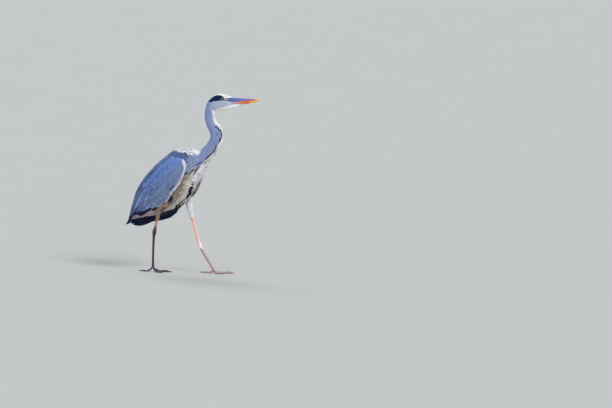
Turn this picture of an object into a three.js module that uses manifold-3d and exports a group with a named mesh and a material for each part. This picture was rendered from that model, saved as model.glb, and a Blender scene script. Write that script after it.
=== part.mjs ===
// Grey heron (Ardea cinerea), a life-size still model of a bird wading with its left leg forward.
// Units are millimetres, +X is the way the bird walks, +Y its left, +Z up, and the floor is Z = 0.
import * as THREE from 'three';
import { mergeVertices } from 'three/addons/utils/BufferGeometryUtils.js';
import Module from 'manifold-3d';

const wasm = await Module();
wasm.setup();

// ---------------------------------------------------------------- driving dimensions
const GAP = 0.3;                 // clearance between neighbouring solids
const BODY_PITCH = 42;           // slope of the trunk, shoulders up, in degrees
const BODY_ROLL = 7;             // the trunk leans over its left side by this much
const BODY_ORIGIN = [-200, 256.6];   // X and Z of the rump end of the trunk's axis
const HEAD_TURN = 8;             // the head looks this much to the left
const HEAD_PIVOT = [137, 721.6]; // X and Z of the joint between head and neck
const WING_THICKNESS = 13;
const EYE_RADIUS = 6.5;
const EYE_AT = [53.8, 47];       // along the bill and up, from the head pivot
const EYE_SIDE = 13.3;           // eye centre from the middle of the head
const TOE_RADIUS = 3.9;
const TOE_FLAT = 3.1;            // height of a toe's centre line over the floor
const RIGHT_FOOT = [-127, -21, 16];  // the joint above the toes
const LEFT_FOOT = [149.5, 5, 10];

const rad = THREE.MathUtils.degToRad;
const V = (x, y, z) => new THREE.Vector3(x, y, z);

// ---------------------------------------------------------------- curves and lofts

// A smooth function through [place, value] keys, flat beyond both ends.
function profile(keys) {
  return (s) => {
    const last = keys.length - 1;
    if (s <= keys[0][0]) return keys[0][1];
    if (s >= keys[last][0]) return keys[last][1];
    let i = 0;
    while (keys[i + 1][0] < s) i++;
    const slope = (j) => {
      if (j === 0 || j === last) return 0;
      const before = (keys[j][1] - keys[j - 1][1]) / (keys[j][0] - keys[j - 1][0]);
      const after = (keys[j + 1][1] - keys[j][1]) / (keys[j + 1][0] - keys[j][0]);
      return before * after <= 0 ? 0 : (2 * before * after) / (before + after);
    };
    const end = (j) => {
      if (j > 0 && j < last) return slope(j);
      const k = j === 0 ? 0 : last - 1;
      return (keys[k + 1][1] - keys[k][1]) / (keys[k + 1][0] - keys[k][0]);
    };
    const h = keys[i + 1][0] - keys[i][0];
    const t = (s - keys[i][0]) / h;
    const a = keys[i][1];
    const b = keys[i + 1][1];
    const ma = end(i) * h;
    const mb = end(i + 1) * h;
    return (2 * t ** 3 - 3 * t * t + 1) * a + (t ** 3 - 2 * t * t + t) * ma
      + (3 * t * t - 2 * t ** 3) * b + (t ** 3 - t * t) * mb;
  };
}

// A closed skin over rings of equal count, with a fan of triangles over each end.
function loft(rings) {
  const count = rings[0].length;
  const points = rings.flat();
  const faces = [];
  for (let r = 0; r + 1 < rings.length; r++) {
    for (let k = 0; k < count; k++) {
      const a = r * count + k;
      const b = r * count + ((k + 1) % count);
      faces.push(a, b, b + count, a, b + count, a + count);
    }
  }
  for (const [r, flip] of [[0, true], [rings.length - 1, false]]) {
    const centre = V(0, 0, 0);
    rings[r].forEach((p) => centre.add(p));
    centre.divideScalar(count);
    points.push(centre);
    const c = points.length - 1;
    for (let k = 0; k < count; k++) {
      const a = r * count + k;
      const b = r * count + ((k + 1) % count);
      if (flip) faces.push(c, b, a);
      else faces.push(c, a, b);
    }
  }
  let volume = 0;
  for (let i = 0; i < faces.length; i += 3) {
    const [p, q, w] = [faces[i], faces[i + 1], faces[i + 2]].map((n) => points[n]);
    volume += p.dot(q.clone().cross(w));
  }
  if (volume < 0) {
    for (let i = 0; i < faces.length; i += 3) [faces[i], faces[i + 1]] = [faces[i + 1], faces[i]];
  }
  const geometry = new THREE.BufferGeometry().setFromPoints(points);
  geometry.setIndex(faces);
  return mergeVertices(geometry, 1e-4);
}

// One ring of an oval: half is its half width along side; top and bottom reach along up and against it.
function oval(centre, side, up, { half, top, bottom = top, power = 2, count = 20 }) {
  const ring = [];
  for (let k = 0; k < count; k++) {
    const angle = (2 * Math.PI * k) / count;
    const c = Math.cos(angle);
    const s = Math.sin(angle);
    const across = half * Math.sign(c) * Math.abs(c) ** (2 / power);
    const along = (s > 0 ? top : bottom) * Math.sign(s) * Math.abs(s) ** (2 / power);
    ring.push(centre.clone().addScaledVector(side, across).addScaledVector(up, along));
  }
  return ring;
}

// A limb along a smooth line through stations [x, y, z, depth radius, width radius].
function limb(stations, { steps = 12, count = 12, power = 2, grow = 0 } = {}) {
  const line = new THREE.CatmullRomCurve3(
    stations.map(([x, y, z]) => V(x, y, z)), false, 'centripetal');
  const last = stations.length - 1;
  const depth = profile(stations.map((st, i) => [i / last, st[3]]));
  const width = profile(stations.map((st, i) => [i / last, st[4] ?? st[3]]));
  const rings = [];
  for (let i = 0; i <= steps; i++) {
    const t = i / steps;
    const along = line.getTangent(t);
    const side = V(0, 1, 0).addScaledVector(along, -along.y).normalize();
    const up = along.clone().cross(side);
    rings.push(oval(line.getPoint(t), side, up,
      { half: width(t) + grow, top: depth(t) + grow, power, count }));
  }
  return loft(rings);
}

// ---------------------------------------------------------------- joining and cutting

function solid(geometry) {
  return new wasm.Manifold(new wasm.Mesh({
    numProp: 3,
    vertProperties: new Float32Array(geometry.attributes.position.array),
    triVerts: new Uint32Array(geometry.index.array),
  }));
}

function geometryOf(body) {
  const mesh = body.getMesh();
  const geometry = new THREE.BufferGeometry();
  geometry.setAttribute('position', new THREE.BufferAttribute(mesh.vertProperties, 3));
  geometry.setIndex(new THREE.BufferAttribute(mesh.triVerts, 1));
  return geometry;
}

const join = (...bodies) => bodies.reduce((a, b) => a.add(b));

// Both sides of a thin cut through a point, square to a direction: [ahead, behind].
function part(body, point, direction) {
  const n = direction.clone().normalize();
  const d = n.dot(point);
  return [
    body.trimByPlane([n.x, n.y, n.z], d + GAP / 2),
    body.trimByPlane([-n.x, -n.y, -n.z], -d + GAP / 2),
  ];
}

// The largest separate lump, where a cut left crumbs.
function largest(body) {
  const lumps = body.decompose();
  return lumps.reduce((a, b) => (a.volume() > b.volume() ? a : b));
}

// ---------------------------------------------------------------- the trunk's own axes

const AXIS = V(Math.cos(rad(BODY_PITCH)), 0, Math.sin(rad(BODY_PITCH)));
const BACKWARD = V(-Math.sin(rad(BODY_PITCH)), 0, Math.cos(rad(BODY_PITCH)));

// s runs from rump to shoulders, h towards the back and y to the bird's left.
function inBody(s, h, y) {
  const roll = rad(BODY_ROLL);
  return V(BODY_ORIGIN[0], 0, BODY_ORIGIN[1])
    .addScaledVector(AXIS, s)
    .addScaledVector(BACKWARD, h * Math.cos(roll) - y * Math.sin(roll))
    .add(V(0, y * Math.cos(roll) + h * Math.sin(roll), 0));
}

const trunkTop = profile([[-30, 4], [0, 20], [35, 44], [86, 68], [134, 84], [187, 96], [244, 104],
  [294, 101], [330, 91], [355, 76], [374, 57], [388, 33], [400, 2]]);
const trunkBottom = profile([[-30, -14], [0, -30], [26, -44], [56, -65], [82, -86], [107, -99],
  [132, -106], [160, -110], [200, -110], [250, -105], [280, -97], [310, -84], [340, -68],
  [365, -56], [400, -45]]);
const trunkHalf = profile([[-30, 14], [0, 28], [36, 41], [91, 57], [134, 65], [187, 71], [244, 73],
  [294, 69], [330, 60], [360, 47], [384, 33], [400, 22]]);

function trunkShape(grow) {
  const rings = [];
  const stations = [-30, -15, 3, 26, 52, 82, 114, 148, 184, 220, 252, 280, 304, 325, 344, 360, 373,
    384, 392, 400];
  for (const s of stations) {
    const top = trunkTop(s) + grow;
    const bottom = trunkBottom(s) - grow;
    const middle = bottom + (top - bottom) * 0.55;
    const ring = [];
    const count = 20;
    for (let k = 0; k < count; k++) {
      const angle = (2 * Math.PI * k) / count;
      const c = Math.cos(angle);
      const n = Math.sin(angle);
      const y = (trunkHalf(s) + grow) * Math.sign(c) * Math.abs(c) ** 0.95;
      const h = middle + (n > 0 ? top - middle : middle - bottom) * Math.sign(n) * Math.abs(n) ** 0.95;
      ring.push(inBody(s, h, y));
    }
    rings.push(ring);
  }
  return solid(loft(rings));
}

// ---------------------------------------------------------------- neck and head

// Centre line of the neck from inside the shoulders up to the skull, with sagittal and side radii.
const NECK = [
  [40, 0, 452, 52, 44],
  [78, 0, 487, 44, 38],
  [108, 0, 517, 33, 31],
  [134, 0, 545, 27.5, 25],
  [153, 0, 573, 26, 23],
  [166, 0, 602, 28.5, 24],
  [162, 0, 630, 29.5, 24],
  [145, 0, 655, 25.5, 22],
  [134, 0, 682, 22.5, 20.5],
  [134, 0, 708, 24, 20],
  [140, 0, 736, 23, 19],
];

// A point given along the bill, to the bird's left and up, from the head pivot.
function inHead(x, y, z) {
  const turn = rad(HEAD_TURN);
  return V(
    HEAD_PIVOT[0] + x * Math.cos(turn) - y * Math.sin(turn),
    x * Math.sin(turn) + y * Math.cos(turn),
    HEAD_PIVOT[1] + z,
  );
}

const headTop = profile([[-19, 26], [-10, 38], [0, 48], [14, 60], [28, 68], [44, 71.5], [60, 69.5],
  [76, 64.5], [95, 57]]);
const headBottom = profile([[-19, 14], [-10, 2], [0, -4], [14, -6], [28, -6], [44, -5], [62, -3],
  [80, 2], [95, 7.5], [112, 13.5], [133, 21.5]]);
const headHalf = profile([[-19, 9], [-10, 16.5], [0, 20], [18, 22.5], [38, 22.5], [54, 19.5],
  [70, 16], [84, 13.2], [95, 11.2], [112, 8.6], [133, 3.2]]);

const BILL_BASE = 95;
const BILL_TIP = 220.2;
// Upper edge, mouth line and lower edge of the bill along its length.
const billTop = profile([[80, 57], [95, 56.6], [112, 55], [140, 53.4], [168, 52.2], [190, 50.8],
  [205, 49.4], [214, 47.8], [220.2, 45.6]]);
const billMouth = profile([[80, 35], [95, 36.4], [130, 38.6], [168, 41.4], [205, 44], [220.2, 45]]);
const billBottom = profile([[80, 22], [95, 22.5], [115, 23.6], [136, 25.6], [160, 28.6], [187, 32.6],
  [203, 36.6], [213, 41], [219, 44.4]]);
const billHalf = profile([[80, 10], [95, 9.6], [120, 8], [150, 6.4], [180, 4.6], [205, 2.8],
  [214, 1.8], [220.2, 0.7]]);

function ringInHead(x, half, top, bottom, split, power, count, turned = 0) {
  const ring = [];
  for (let k = 0; k < count; k++) {
    const angle = (2 * Math.PI * (k + turned)) / count;
    const c = Math.cos(angle);
    const n = Math.sin(angle);
    const y = half * Math.sign(c) * Math.abs(c) ** (2 / power);
    const reach = n > 0 ? top - split : split - bottom;
    const z = split + reach * Math.sign(n) * Math.abs(n) ** (2 / power);
    ring.push(inHead(x, y, z));
  }
  return ring;
}

function headShape() {
  const rings = [];
  for (const x of [-19, -13, -4, 8, 22, 38, 52, 66, 80, 92, 100, 116, 133]) {
    // Ahead of the bill's base only the feathered chin goes on, under the lower mandible.
    const top = x <= BILL_BASE ? headTop(x) : billBottom(x) + 4;
    const bottom = headBottom(x);
    rings.push(ringInHead(x, headHalf(x), top, bottom, (top + bottom) / 2 + 1, 2.1, 14));
  }
  return solid(loft(rings));
}

function billShape(upper, grow = 0) {
  const rings = [];
  const end = upper ? BILL_TIP : BILL_TIP - 1.5;
  for (const x of [88, 104, 124, 148, 172, 194, 208, end]) {
    const mouth = billMouth(x);
    const half = billHalf(x) + grow;
    const top = upper ? billTop(x) + grow : mouth - GAP;
    const bottom = upper ? mouth : billBottom(x) - grow;
    const ring = [];
    const count = 12;
    // A half oval standing on the flat of the mouth line.
    for (let k = 0; k <= count / 2; k++) {
      const angle = (Math.PI * k) / (count / 2);
      const c = Math.cos(angle);
      const n = Math.sin(angle);
      const y = half * (upper ? 1 : 0.92) * Math.sign(c) * Math.abs(c) ** 0.8;
      const z = upper ? bottom + (top - bottom) * n ** 0.9 : top - (top - bottom) * n ** 0.9;
      ring.push(inHead(x, y, z));
    }
    ring.push(inHead(x, -half * 0.45, mouth - (upper ? 0 : GAP)));
    ring.push(inHead(x, half * 0.45, mouth - (upper ? 0 : GAP)));
    rings.push(ring);
  }
  return solid(loft(rings));
}

function eyeShape(side, radius) {
  const ball = new THREE.SphereGeometry(radius, 12, 8);
  const at = inHead(EYE_AT[0], side * EYE_SIDE, EYE_AT[1]);
  ball.translate(at.x, at.y, at.z);
  ball.deleteAttribute('normal');
  ball.deleteAttribute('uv');
  return solid(mergeVertices(ball, 1e-4));
}

// ---------------------------------------------------------------- wings and tail

const wingTop = profile([[-68, 4], [-40, 19], [0, 44], [35, 65], [86, 87], [134, 98], [187, 103],
  [230, 104], [262, 99], [290, 84], [314, 60], [330, 40], [338, 24]]);
const wingLow = {
  right: profile([[-68, -9], [-40, -12], [-4, -15], [30, -21], [65, -27], [85, -31], [110, -43],
    [140, -52], [173, -56], [198, -55.5], [247, -53], [276, -44], [298, -31], [318, -17],
    [330, -2], [338, 14]]),
  // The left wing hangs slack, so its quills show under the body.
  left: profile([[-68, -10], [-50, -22], [-30, -34], [16, -47], [43, -65], [71, -80], [103, -86],
    [135, -82], [165, -73], [198, -65], [247, -56], [276, -44], [298, -31], [318, -17],
    [330, -2], [338, 14]]),
};
const wingHalf = profile([[-68, 11], [-40, 22], [0, 38], [50, 54], [100, 67], [150, 77], [200, 82],
  [250, 82], [290, 77], [314, 71], [330, 66], [338, 62]]);
// How far from the middle of the back the upper edge of the wing stays.
const wingInner = profile([[-68, 1.2], [187, 3], [230, 12], [262, 26], [290, 42], [314, 52],
  [338, 57]]);

// A folded wing wraps the flank from near the back's middle down to its lower edge.
function wingShape(name, thickness = WING_THICKNESS) {
  const side = name === 'right' ? -1 : 1;
  const stations = [-68, -56, -38, -14, 12, 40, 70, 100, 132, 166, 200, 232, 260, 284, 303, 318,
    328, 334, 338];
  const rings = [];
  for (const s of stations) {
    const top = wingTop(s);
    const low = wingLow[name](s);
    const half = wingHalf(s);
    const inner = Math.min(wingInner(s), half * 0.9);
    const waist = low + (top - low) * 0.42;
    const end = Math.min(1, (338.5 - s) / 26) ** 0.5;
    const thick = Math.min(thickness, half * 0.8) * (0.35 + 0.65 * end);
    const outside = [];
    const inside = [];
    const steps = 8;
    const startAngle = Math.acos(Math.min(1, inner / half));
    for (let k = 0; k <= steps; k++) {
      const q = k / steps;
      let h;
      let y;
      let ny;
      let nh;
      if (q < 0.64) {
        const angle = startAngle * (1 - q / 0.64);
        y = half * Math.cos(angle);
        h = waist + (top - waist) * (Math.sin(angle) / Math.sin(startAngle)) ** 0.95;
        ny = Math.cos(angle);
        nh = Math.sin(angle);
      } else {
        const d = (q - 0.64) / 0.36;
        y = half * (1 - 0.07 * d * d);
        h = waist - (waist - low) * d;
        ny = 1;
        nh = -0.15 * d;
      }
      const edge = Math.sin(Math.PI * Math.min(1, Math.max(0, q)) ** 0.9) ** 0.45;
      const t = Math.max(2.2, thick * edge);
      outside.push([y, h]);
      inside.push([Math.max(0.6, y - ny * t), h - nh * t]);
    }
    const ring = [...outside, ...inside.reverse()].map(([y, h]) => inBody(s, h, side * y));
    rings.push(ring);
  }
  return solid(loft(rings));
}

const tailHalf = profile([[-60, 17], [-46, 22], [0, 23], [60, 18], [110, 13]]);

function tailShape(grow) {
  const rings = [];
  for (const s of [-60, -52, -30, 5, 50, 90]) {
    const centre = 2 + (s + 60) * 0.19;
    const half = tailHalf(s) + grow;
    const ring = [];
    for (let k = 0; k < 12; k++) {
      const angle = (2 * Math.PI * k) / 12;
      const y = half * Math.cos(angle);
      const arch = -0.006 * y * y;
      ring.push(inBody(s, centre + arch + (2.6 + grow) * Math.sin(angle), y));
    }
    rings.push(ring);
  }
  return solid(loft(rings));
}

// ---------------------------------------------------------------- legs and feet

const LEGS = {
  right: {
    thigh: [[-19, -46, 372, 34, 22], [-43, -53, 336, 27, 19], [-68, -50, 304, 17.5, 14],
      [-84.5, -44.5, 280, 12.5, 11], [-95.5, -39.5, 248, 9, 8.5], [-101.5, -36.5, 230, 7.2, 7]],
    shank: [[-101.5, -36.5, 229.5, 6, 6], [-106.5, -35.5, 211, 5.4, 5.2], [-111, -34.6, 193, 6.4, 5.6],
      [-114.2, -34, 180, 9.6, 6.8], [-116, -33.6, 169, 8.6, 6.4]],
    tarsus: [[-116, -33.5, 168.5, 8.2, 6.3], [-118.2, -31.5, 155, 6, 5], [-121, -28.5, 128, 5.3, 4.4],
      [-123.5, -25.5, 85, 5.1, 4.2], [-125.4, -23, 45, 5.2, 4.4], RIGHT_FOOT.concat([6.6, 6])],
  },
  left: {
    thigh: [[-4, 40, 384, 34, 22], [6, 46, 344, 25, 19], [16, 44, 316, 18, 16], [23, 42.5, 288, 15.5, 13.5],
      [30, 41.5, 258, 11, 10.5], [37.5, 41, 230, 7.4, 7.2]],
    shank: [[37.5, 41, 229.5, 6.2, 6.2], [45.5, 40.7, 202, 5.3, 5.2], [54.5, 40.4, 172, 5.2, 5.1],
      [62.5, 40.1, 142, 6.6, 5.8], [68.5, 40, 122.5, 9.6, 6.9], [73.5, 38.5, 113.5, 8.4, 6.4]],
    tarsus: [[73.8, 38.3, 113, 8.1, 6.3], [80, 34, 103.5, 6.1, 5], [95.5, 27, 81, 5.3, 4.4],
      [115, 20, 56.5, 5.1, 4.2], [135.5, 12, 30, 5.3, 4.5], LEFT_FOOT.concat([6.6, 6])],
  },
};

// Toe name, way it points from straight ahead, length to the claw, claw length, number of joints.
const TOES = [
  ['middle', 2, 78, 17, 3],
  ['inner', -34, 58, 15, 2],
  ['outer', 36, 66, 14, 4],
  ['hind', 180, 48, 21, 1],
];

// One toe from its root beside the foot's joint out to where its claw starts.
function toeLine(foot, side, heading) {
  const [x, y, z] = foot;
  const turn = rad(heading[1] * side);
  const away = V(Math.cos(turn), Math.sin(turn), 0);
  const at = (d, height) => V(x, y, 0).addScaledVector(away, d).setZ(height);
  const length = heading[2];
  const land = Math.min(length * 0.5, 8 + z * 1.3);
  return { away, points: [at(5.6, z - 2.2), at(land * 0.55, (z + TOE_FLAT) / 2), at(land, TOE_FLAT),
    at((land + length) / 2, TOE_FLAT), at(length, TOE_FLAT)], end: at(length, TOE_FLAT) };
}

function toeShape(foot, side, heading) {
  const { points } = toeLine(foot, side, heading);
  const joints = heading[4];
  const line = new THREE.CatmullRomCurve3(points, false, 'centripetal');
  const rings = [];
  const steps = 8;
  for (let i = 0; i <= steps; i++) {
    const t = i / steps;
    const along = line.getTangent(t);
    const side3 = V(-along.y, along.x, 0).normalize();
    const up = along.clone().cross(side3);
    const pad = 0.35 * Math.cos(2 * Math.PI * joints * t);
    const taper = TOE_RADIUS * (1.1 - 0.32 * t) + pad;
    rings.push(oval(line.getPoint(t), side3, up, { half: taper, top: taper * 0.92, count: 8 }));
  }
  let toe = solid(loft(rings)).trimByPlane([0, 0, 1], 0);
  // The three front toes part along the lines halfway between them.
  for (const border of [-16, 19]) {
    if (heading[0] === 'hind') break;
    const turn = rad(border * side);
    const over = side * Math.sign(heading[1] - border);
    const normal = V(-Math.sin(turn) * over, Math.cos(turn) * over, 0);
    toe = toe.trimByPlane(normal.toArray(), normal.dot(V(foot[0], foot[1], 0)) + GAP / 2);
  }
  return toe;
}

function clawShape(foot, side, heading) {
  const { away, end } = toeLine(foot, side, heading);
  const length = heading[3];
  const across = V(-away.y, away.x, 0);
  const rings = [];
  for (const [t, r] of [[0, 2.3], [0.25, 2.2], [0.5, 1.8], [0.75, 1.2], [1, 0.45]]) {
    const height = 2.6 + 2.4 * Math.sin(Math.PI * t * 0.85) - 2.7 * t;
    const centre = end.clone().addScaledVector(away, GAP + length * t).setZ(Math.max(height, r + 0.05));
    rings.push(oval(centre, across, V(0, 0, 1), { half: r * 0.85, top: r, count: 8 }));
  }
  return solid(loft(rings)).trimByPlane([0, 0, 1], 0);
}

// ---------------------------------------------------------------- breast plumes

// Root, mid point and tip of each hanging lanceolate plume, in the trunk's axes [s, h, y].
const PLUMES = [
  [[368, -47, -9], [318, -80, -12], [262, -107, -9]],
  [[362, -50, 2], [306, -90, 0], [247, -117, -2]],
  [[370, -47, 13], [322, -80, 14], [272, -108, 10]],
  [[352, -52, -20], [306, -82, -22], [276, -98, -19]],
];

function plumeShape([root, middle, tip]) {
  const line = new THREE.CatmullRomCurve3([root, middle, tip].map(([s, h, y]) => inBody(s, h, y)));
  const rings = [];
  for (let i = 0; i <= 7; i++) {
    const t = i / 7;
    const along = line.getTangent(t);
    const side = V(0, 1, 0).addScaledVector(along, -along.y).normalize();
    const up = along.clone().cross(side);
    const half = 7.5 * Math.sin(Math.PI * (0.16 + 0.8 * t)) ** 0.8;
    rings.push(oval(line.getPoint(t), side, up, { half, top: 2.4 - 1.3 * t, count: 8 }));
  }
  return solid(loft(rings));
}

// ---------------------------------------------------------------- assembly

const nodes = new THREE.Group();
nodes.name = 'grey_heron';

function material(colour, roughness = 0.8) {
  return new THREE.MeshStandardMaterial({ color: colour, roughness, metalness: 0 });
}
const COLOURS = {
  plumage: 0xb9c0cf, slate: 0x7d8aa5, black: 0x20242e, white: 0xeceae6, bill: 0xd98a3a,
  billTop: 0x7f83a8, leg: 0x8c6e5d, coral: 0xc98f7d, claw: 0x3a332e, eye: 0xd9b53c,
};

function add(name, body, colour, roughness) {
  const mesh = new THREE.Mesh(geometryOf(largest(body)), material(colour, roughness));
  mesh.name = name;
  nodes.add(mesh);
}

// Trunk, neck, head and thighs are joined whole and parted again with thin cuts.
const trunkFat = trunkShape(GAP);
const neck = solid(limb(NECK, { steps: 20, count: 16 }));
const bodyFat = trunkFat.add(solid(limb(NECK, { steps: 20, count: 16, grow: GAP })));
const eyeSockets = join(eyeShape(1, EYE_RADIUS + GAP), eyeShape(-1, EYE_RADIUS + GAP));
const billRoom = join(billShape(true, GAP), billShape(false, GAP)).hull();
const whole = join(trunkShape(0), neck, headShape());

const [aheadOfTrunk, trunk] = part(whole, inBody(397, 0, 0), AXIS);
const [headAll, neckAll] = part(aheadOfTrunk, inHead(4, 0, 6), V(0.42, 0, 0.9));
const [neckTop, neckRest] = part(neckAll, V(150, 0, 648), V(-0.42, 0, 0.9));
const [neckMiddle, neckBase] = part(neckRest, V(146, 0, 562), V(0.5, 0, 0.87));

const thighs = {};
const others = [];
for (const [name, leg] of Object.entries(LEGS)) {
  thighs[name] = solid(limb(leg.thigh, { steps: 8, count: 12 })).subtract(trunkFat);
  others.push(solid(limb(leg.thigh, { steps: 8, count: 12, grow: GAP })));
}

const tail = tailShape(0).subtract(trunkFat);
const tailFat = tailShape(GAP);
const wings = {};
for (const name of ['right', 'left']) {
  wings[name] = wingShape(name).subtract(bodyFat).subtract(tailFat);
  for (const thigh of others) wings[name] = wings[name].subtract(thigh);
}

add('trunk', trunk, COLOURS.plumage);
add('neck_lower', neckBase, COLOURS.plumage);
add('neck_middle', neckMiddle, COLOURS.plumage);
add('neck_upper', neckTop, COLOURS.plumage);
add('head', headAll.subtract(eyeSockets).subtract(billRoom), COLOURS.white);
add('bill_upper', billShape(true), COLOURS.billTop, 0.45);
add('bill_lower', billShape(false), COLOURS.bill, 0.45);
add('eye_left', eyeShape(1, EYE_RADIUS), COLOURS.eye, 0.1);
add('eye_right', eyeShape(-1, EYE_RADIUS), COLOURS.eye, 0.1);
add('tail', tail, COLOURS.slate);

for (const name of ['right', 'left']) {
  const [coverts, flight] = part(wings[name], inBody(120, -10, 0), V(0.9, 0, 0.35));
  add(`wing_${name}`, coverts, COLOURS.slate);
  add(`wing_${name}_tip`, flight, COLOURS.black);
}

for (const [name, side] of [['right', -1], ['left', 1]]) {
  const leg = LEGS[name];
  const foot = name === 'right' ? RIGHT_FOOT : LEFT_FOOT;
  const hock = leg.tarsus[0];
  const knee = leg.shank[0];
  const shin = solid(limb(leg.shank, { steps: 10, count: 8 }));
  const shank = solid(limb(leg.tarsus, { steps: 11, count: 8 }));
  const kneeWay = V(leg.thigh[4][0] - knee[0], leg.thigh[4][1] - knee[1], leg.thigh[4][2] - knee[2]);
  add(`thigh_${name}`, part(thighs[name], V(...knee.slice(0, 3)), kneeWay)[0], COLOURS.white);
  const hockWay = V(leg.shank[3][0] - hock[0], leg.shank[3][1] - hock[1], leg.shank[3][2] - hock[2]);
  const below = part(shin, V(...knee.slice(0, 3)), kneeWay)[1];
  add(`shin_${name}`, part(below, V(...hock.slice(0, 3)), hockWay)[0], COLOURS.coral, 0.6);
  const tarsus = part(shank, V(...hock.slice(0, 3)), hockWay)[1];
  add(`tarsus_${name}`, tarsus, COLOURS.leg, 0.6);
  for (const heading of TOES) {
    add(`toe_${name}_${heading[0]}`, toeShape(foot, side, heading).subtract(solid(
      limb(leg.tarsus, { steps: 11, count: 8, grow: GAP }))), COLOURS.leg, 0.6);
    add(`claw_${name}_${heading[0]}`, clawShape(foot, side, heading), COLOURS.claw, 0.4);
  }
}

add('breast_plumes', join(...PLUMES.map(plumeShape)).subtract(bodyFat), COLOURS.white);

// The origin lies on the floor under the middle of the bird's bounding box.
const extent = new THREE.Box3().setFromObject(nodes, true);
const middle = extent.getCenter(new THREE.Vector3());
nodes.position.set(-middle.x, -middle.y, 0);

export default nodes;
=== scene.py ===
"""A grey heron wading, as a life-size still model: skin, plumage, eyes, bill, claws and a plain studio.

Lengths are millimetres in the design axes of the solids, X ahead, Y to the bird's left and Z up, until a
mesh is made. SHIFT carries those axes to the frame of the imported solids, which is in metres.
"""

import math

import bmesh
import bpy
import numpy as np
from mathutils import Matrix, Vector
from mathutils.bvhtree import BVHTree
from mathutils.kdtree import KDTree


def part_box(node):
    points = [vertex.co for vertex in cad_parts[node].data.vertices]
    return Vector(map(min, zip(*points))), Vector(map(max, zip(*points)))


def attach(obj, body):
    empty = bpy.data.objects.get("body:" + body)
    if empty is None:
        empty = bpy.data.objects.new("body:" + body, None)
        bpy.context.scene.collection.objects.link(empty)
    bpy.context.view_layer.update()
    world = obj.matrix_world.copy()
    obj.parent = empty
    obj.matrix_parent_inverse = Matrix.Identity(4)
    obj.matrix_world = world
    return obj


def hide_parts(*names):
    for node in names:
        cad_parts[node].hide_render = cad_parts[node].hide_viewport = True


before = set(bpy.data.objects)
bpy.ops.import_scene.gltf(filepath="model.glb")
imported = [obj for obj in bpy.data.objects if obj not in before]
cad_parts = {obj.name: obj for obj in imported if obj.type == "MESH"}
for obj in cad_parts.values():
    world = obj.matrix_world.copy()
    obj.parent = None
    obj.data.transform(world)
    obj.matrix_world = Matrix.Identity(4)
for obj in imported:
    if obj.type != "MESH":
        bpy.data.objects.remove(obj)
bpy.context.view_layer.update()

MM = 0.001
TURN = 2 * math.pi
FRONT = 1.5 * math.pi            # the angle round a part that faces its throat, breast or belly
TINY = 1e-9                      # keeps a length from being divided by zero
rng = np.random.default_rng(20)

# ---------------------------------------------------------------- driving dimensions, as in the solids
BODY_PITCH = math.radians(42)
BODY_ROLL = math.radians(7)
BODY_ORIGIN = np.array([-200, 0, 256.6])
HEAD_TURN = math.radians(8)
HEAD_PIVOT = np.array([137, 0, 721.6])
EYE_RADIUS = 6.5
EYE_AT = (53.8, 47)              # x and z of both eyes in the head's axes
EYE_SIDE = 13.3                  # from the head's middle plane to an eye's centre
TOE_RADIUS = 3.9
TOE_FLAT = 3.1                   # height of a toe's middle line where it lies on the floor
BILL_BASE = 95                   # x at which the plumage of the chin gives way to the bill
BILL_START = 88                  # x at which the bill's horn begins, inside the face
BILL_TIP = 220.2
RIGHT_FOOT = (-127, -21, 16)
LEFT_FOOT = (149.5, 5, 10)
SIDES = {"right": -1, "left": 1}

# Depth of the coat over the skin.
TRUNK_COAT = 9
NECK_COAT = 4
HEAD_COAT = 1.8
THIGH_COAT = 4

AXIS = np.array([math.cos(BODY_PITCH), 0, math.sin(BODY_PITCH)])
BACKWARD = np.array([-math.sin(BODY_PITCH), 0, math.cos(BODY_PITCH)])


def profile(keys):
    """A smooth function through (place, value) keys, flat beyond both ends."""
    place, value = np.array(keys, float).T
    step = np.diff(place)
    rise = np.diff(value) / step
    before, after = rise[:-1], rise[1:]
    same = before * after > 0
    slope = np.zeros_like(place)
    slope[1:-1] = np.where(same, 2 * before * after / np.where(same, before + after, 1), 0)
    slope[0], slope[-1] = rise[0], rise[-1]

    def at(s):
        s = np.clip(s, place[0], place[-1])
        i = np.clip(np.searchsorted(place, s, side="right") - 1, 0, len(place) - 2)
        t = (s - place[i]) / step[i]
        return ((2 * t**3 - 3 * t * t + 1) * value[i] + (t**3 - 2 * t * t + t) * step[i] * slope[i]
                + (3 * t * t - 2 * t**3) * value[i + 1] + (t**3 - t * t) * step[i] * slope[i + 1])

    return at


def power(v, exponent):
    """A power that keeps the sign."""
    return np.sign(v) * np.abs(v) ** exponent


def smooth(v, low, high):
    """0 below low, 1 above high and a soft step between."""
    t = np.clip((v - low) / (high - low), 0, 1)
    return t * t * (3 - 2 * t)


def unit(v):
    return v / np.maximum(np.linalg.norm(v, axis=-1, keepdims=True), TINY)


def around(middle, spread, count):
    """Random values, scattered round a middle one."""
    return middle + spread * rng.standard_normal(count)


# ---------------------------------------------------------------- axes of the trunk and of the head

def in_body(s, h, y):
    """s runs from rump to shoulders, h towards the back and y to the bird's left."""
    s, h, y = np.broadcast_arrays(s, h, y)
    up = h * math.cos(BODY_ROLL) - y * math.sin(BODY_ROLL)
    point = BODY_ORIGIN + s[..., None] * AXIS + up[..., None] * BACKWARD
    point[..., 1] += y * math.cos(BODY_ROLL) + h * math.sin(BODY_ROLL)
    return point


def in_head(x, y, z):
    """x along the bill, y to the bird's left and z up, from the joint of head and neck."""
    x, y, z = np.broadcast_arrays(x, y, z)
    c, n = math.cos(HEAD_TURN), math.sin(HEAD_TURN)
    return HEAD_PIVOT + np.stack([x * c - y * n, x * n + y * c, z], -1)


def head_place(points):
    """The inverse of in_head: x, y and z of points."""
    p = points - HEAD_PIVOT
    c, n = math.cos(HEAD_TURN), math.sin(HEAD_TURN)
    return p[..., 0] * c + p[..., 1] * n, p[..., 1] * c - p[..., 0] * n, p[..., 2]


# ---------------------------------------------------------------- outlines of the parts

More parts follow.
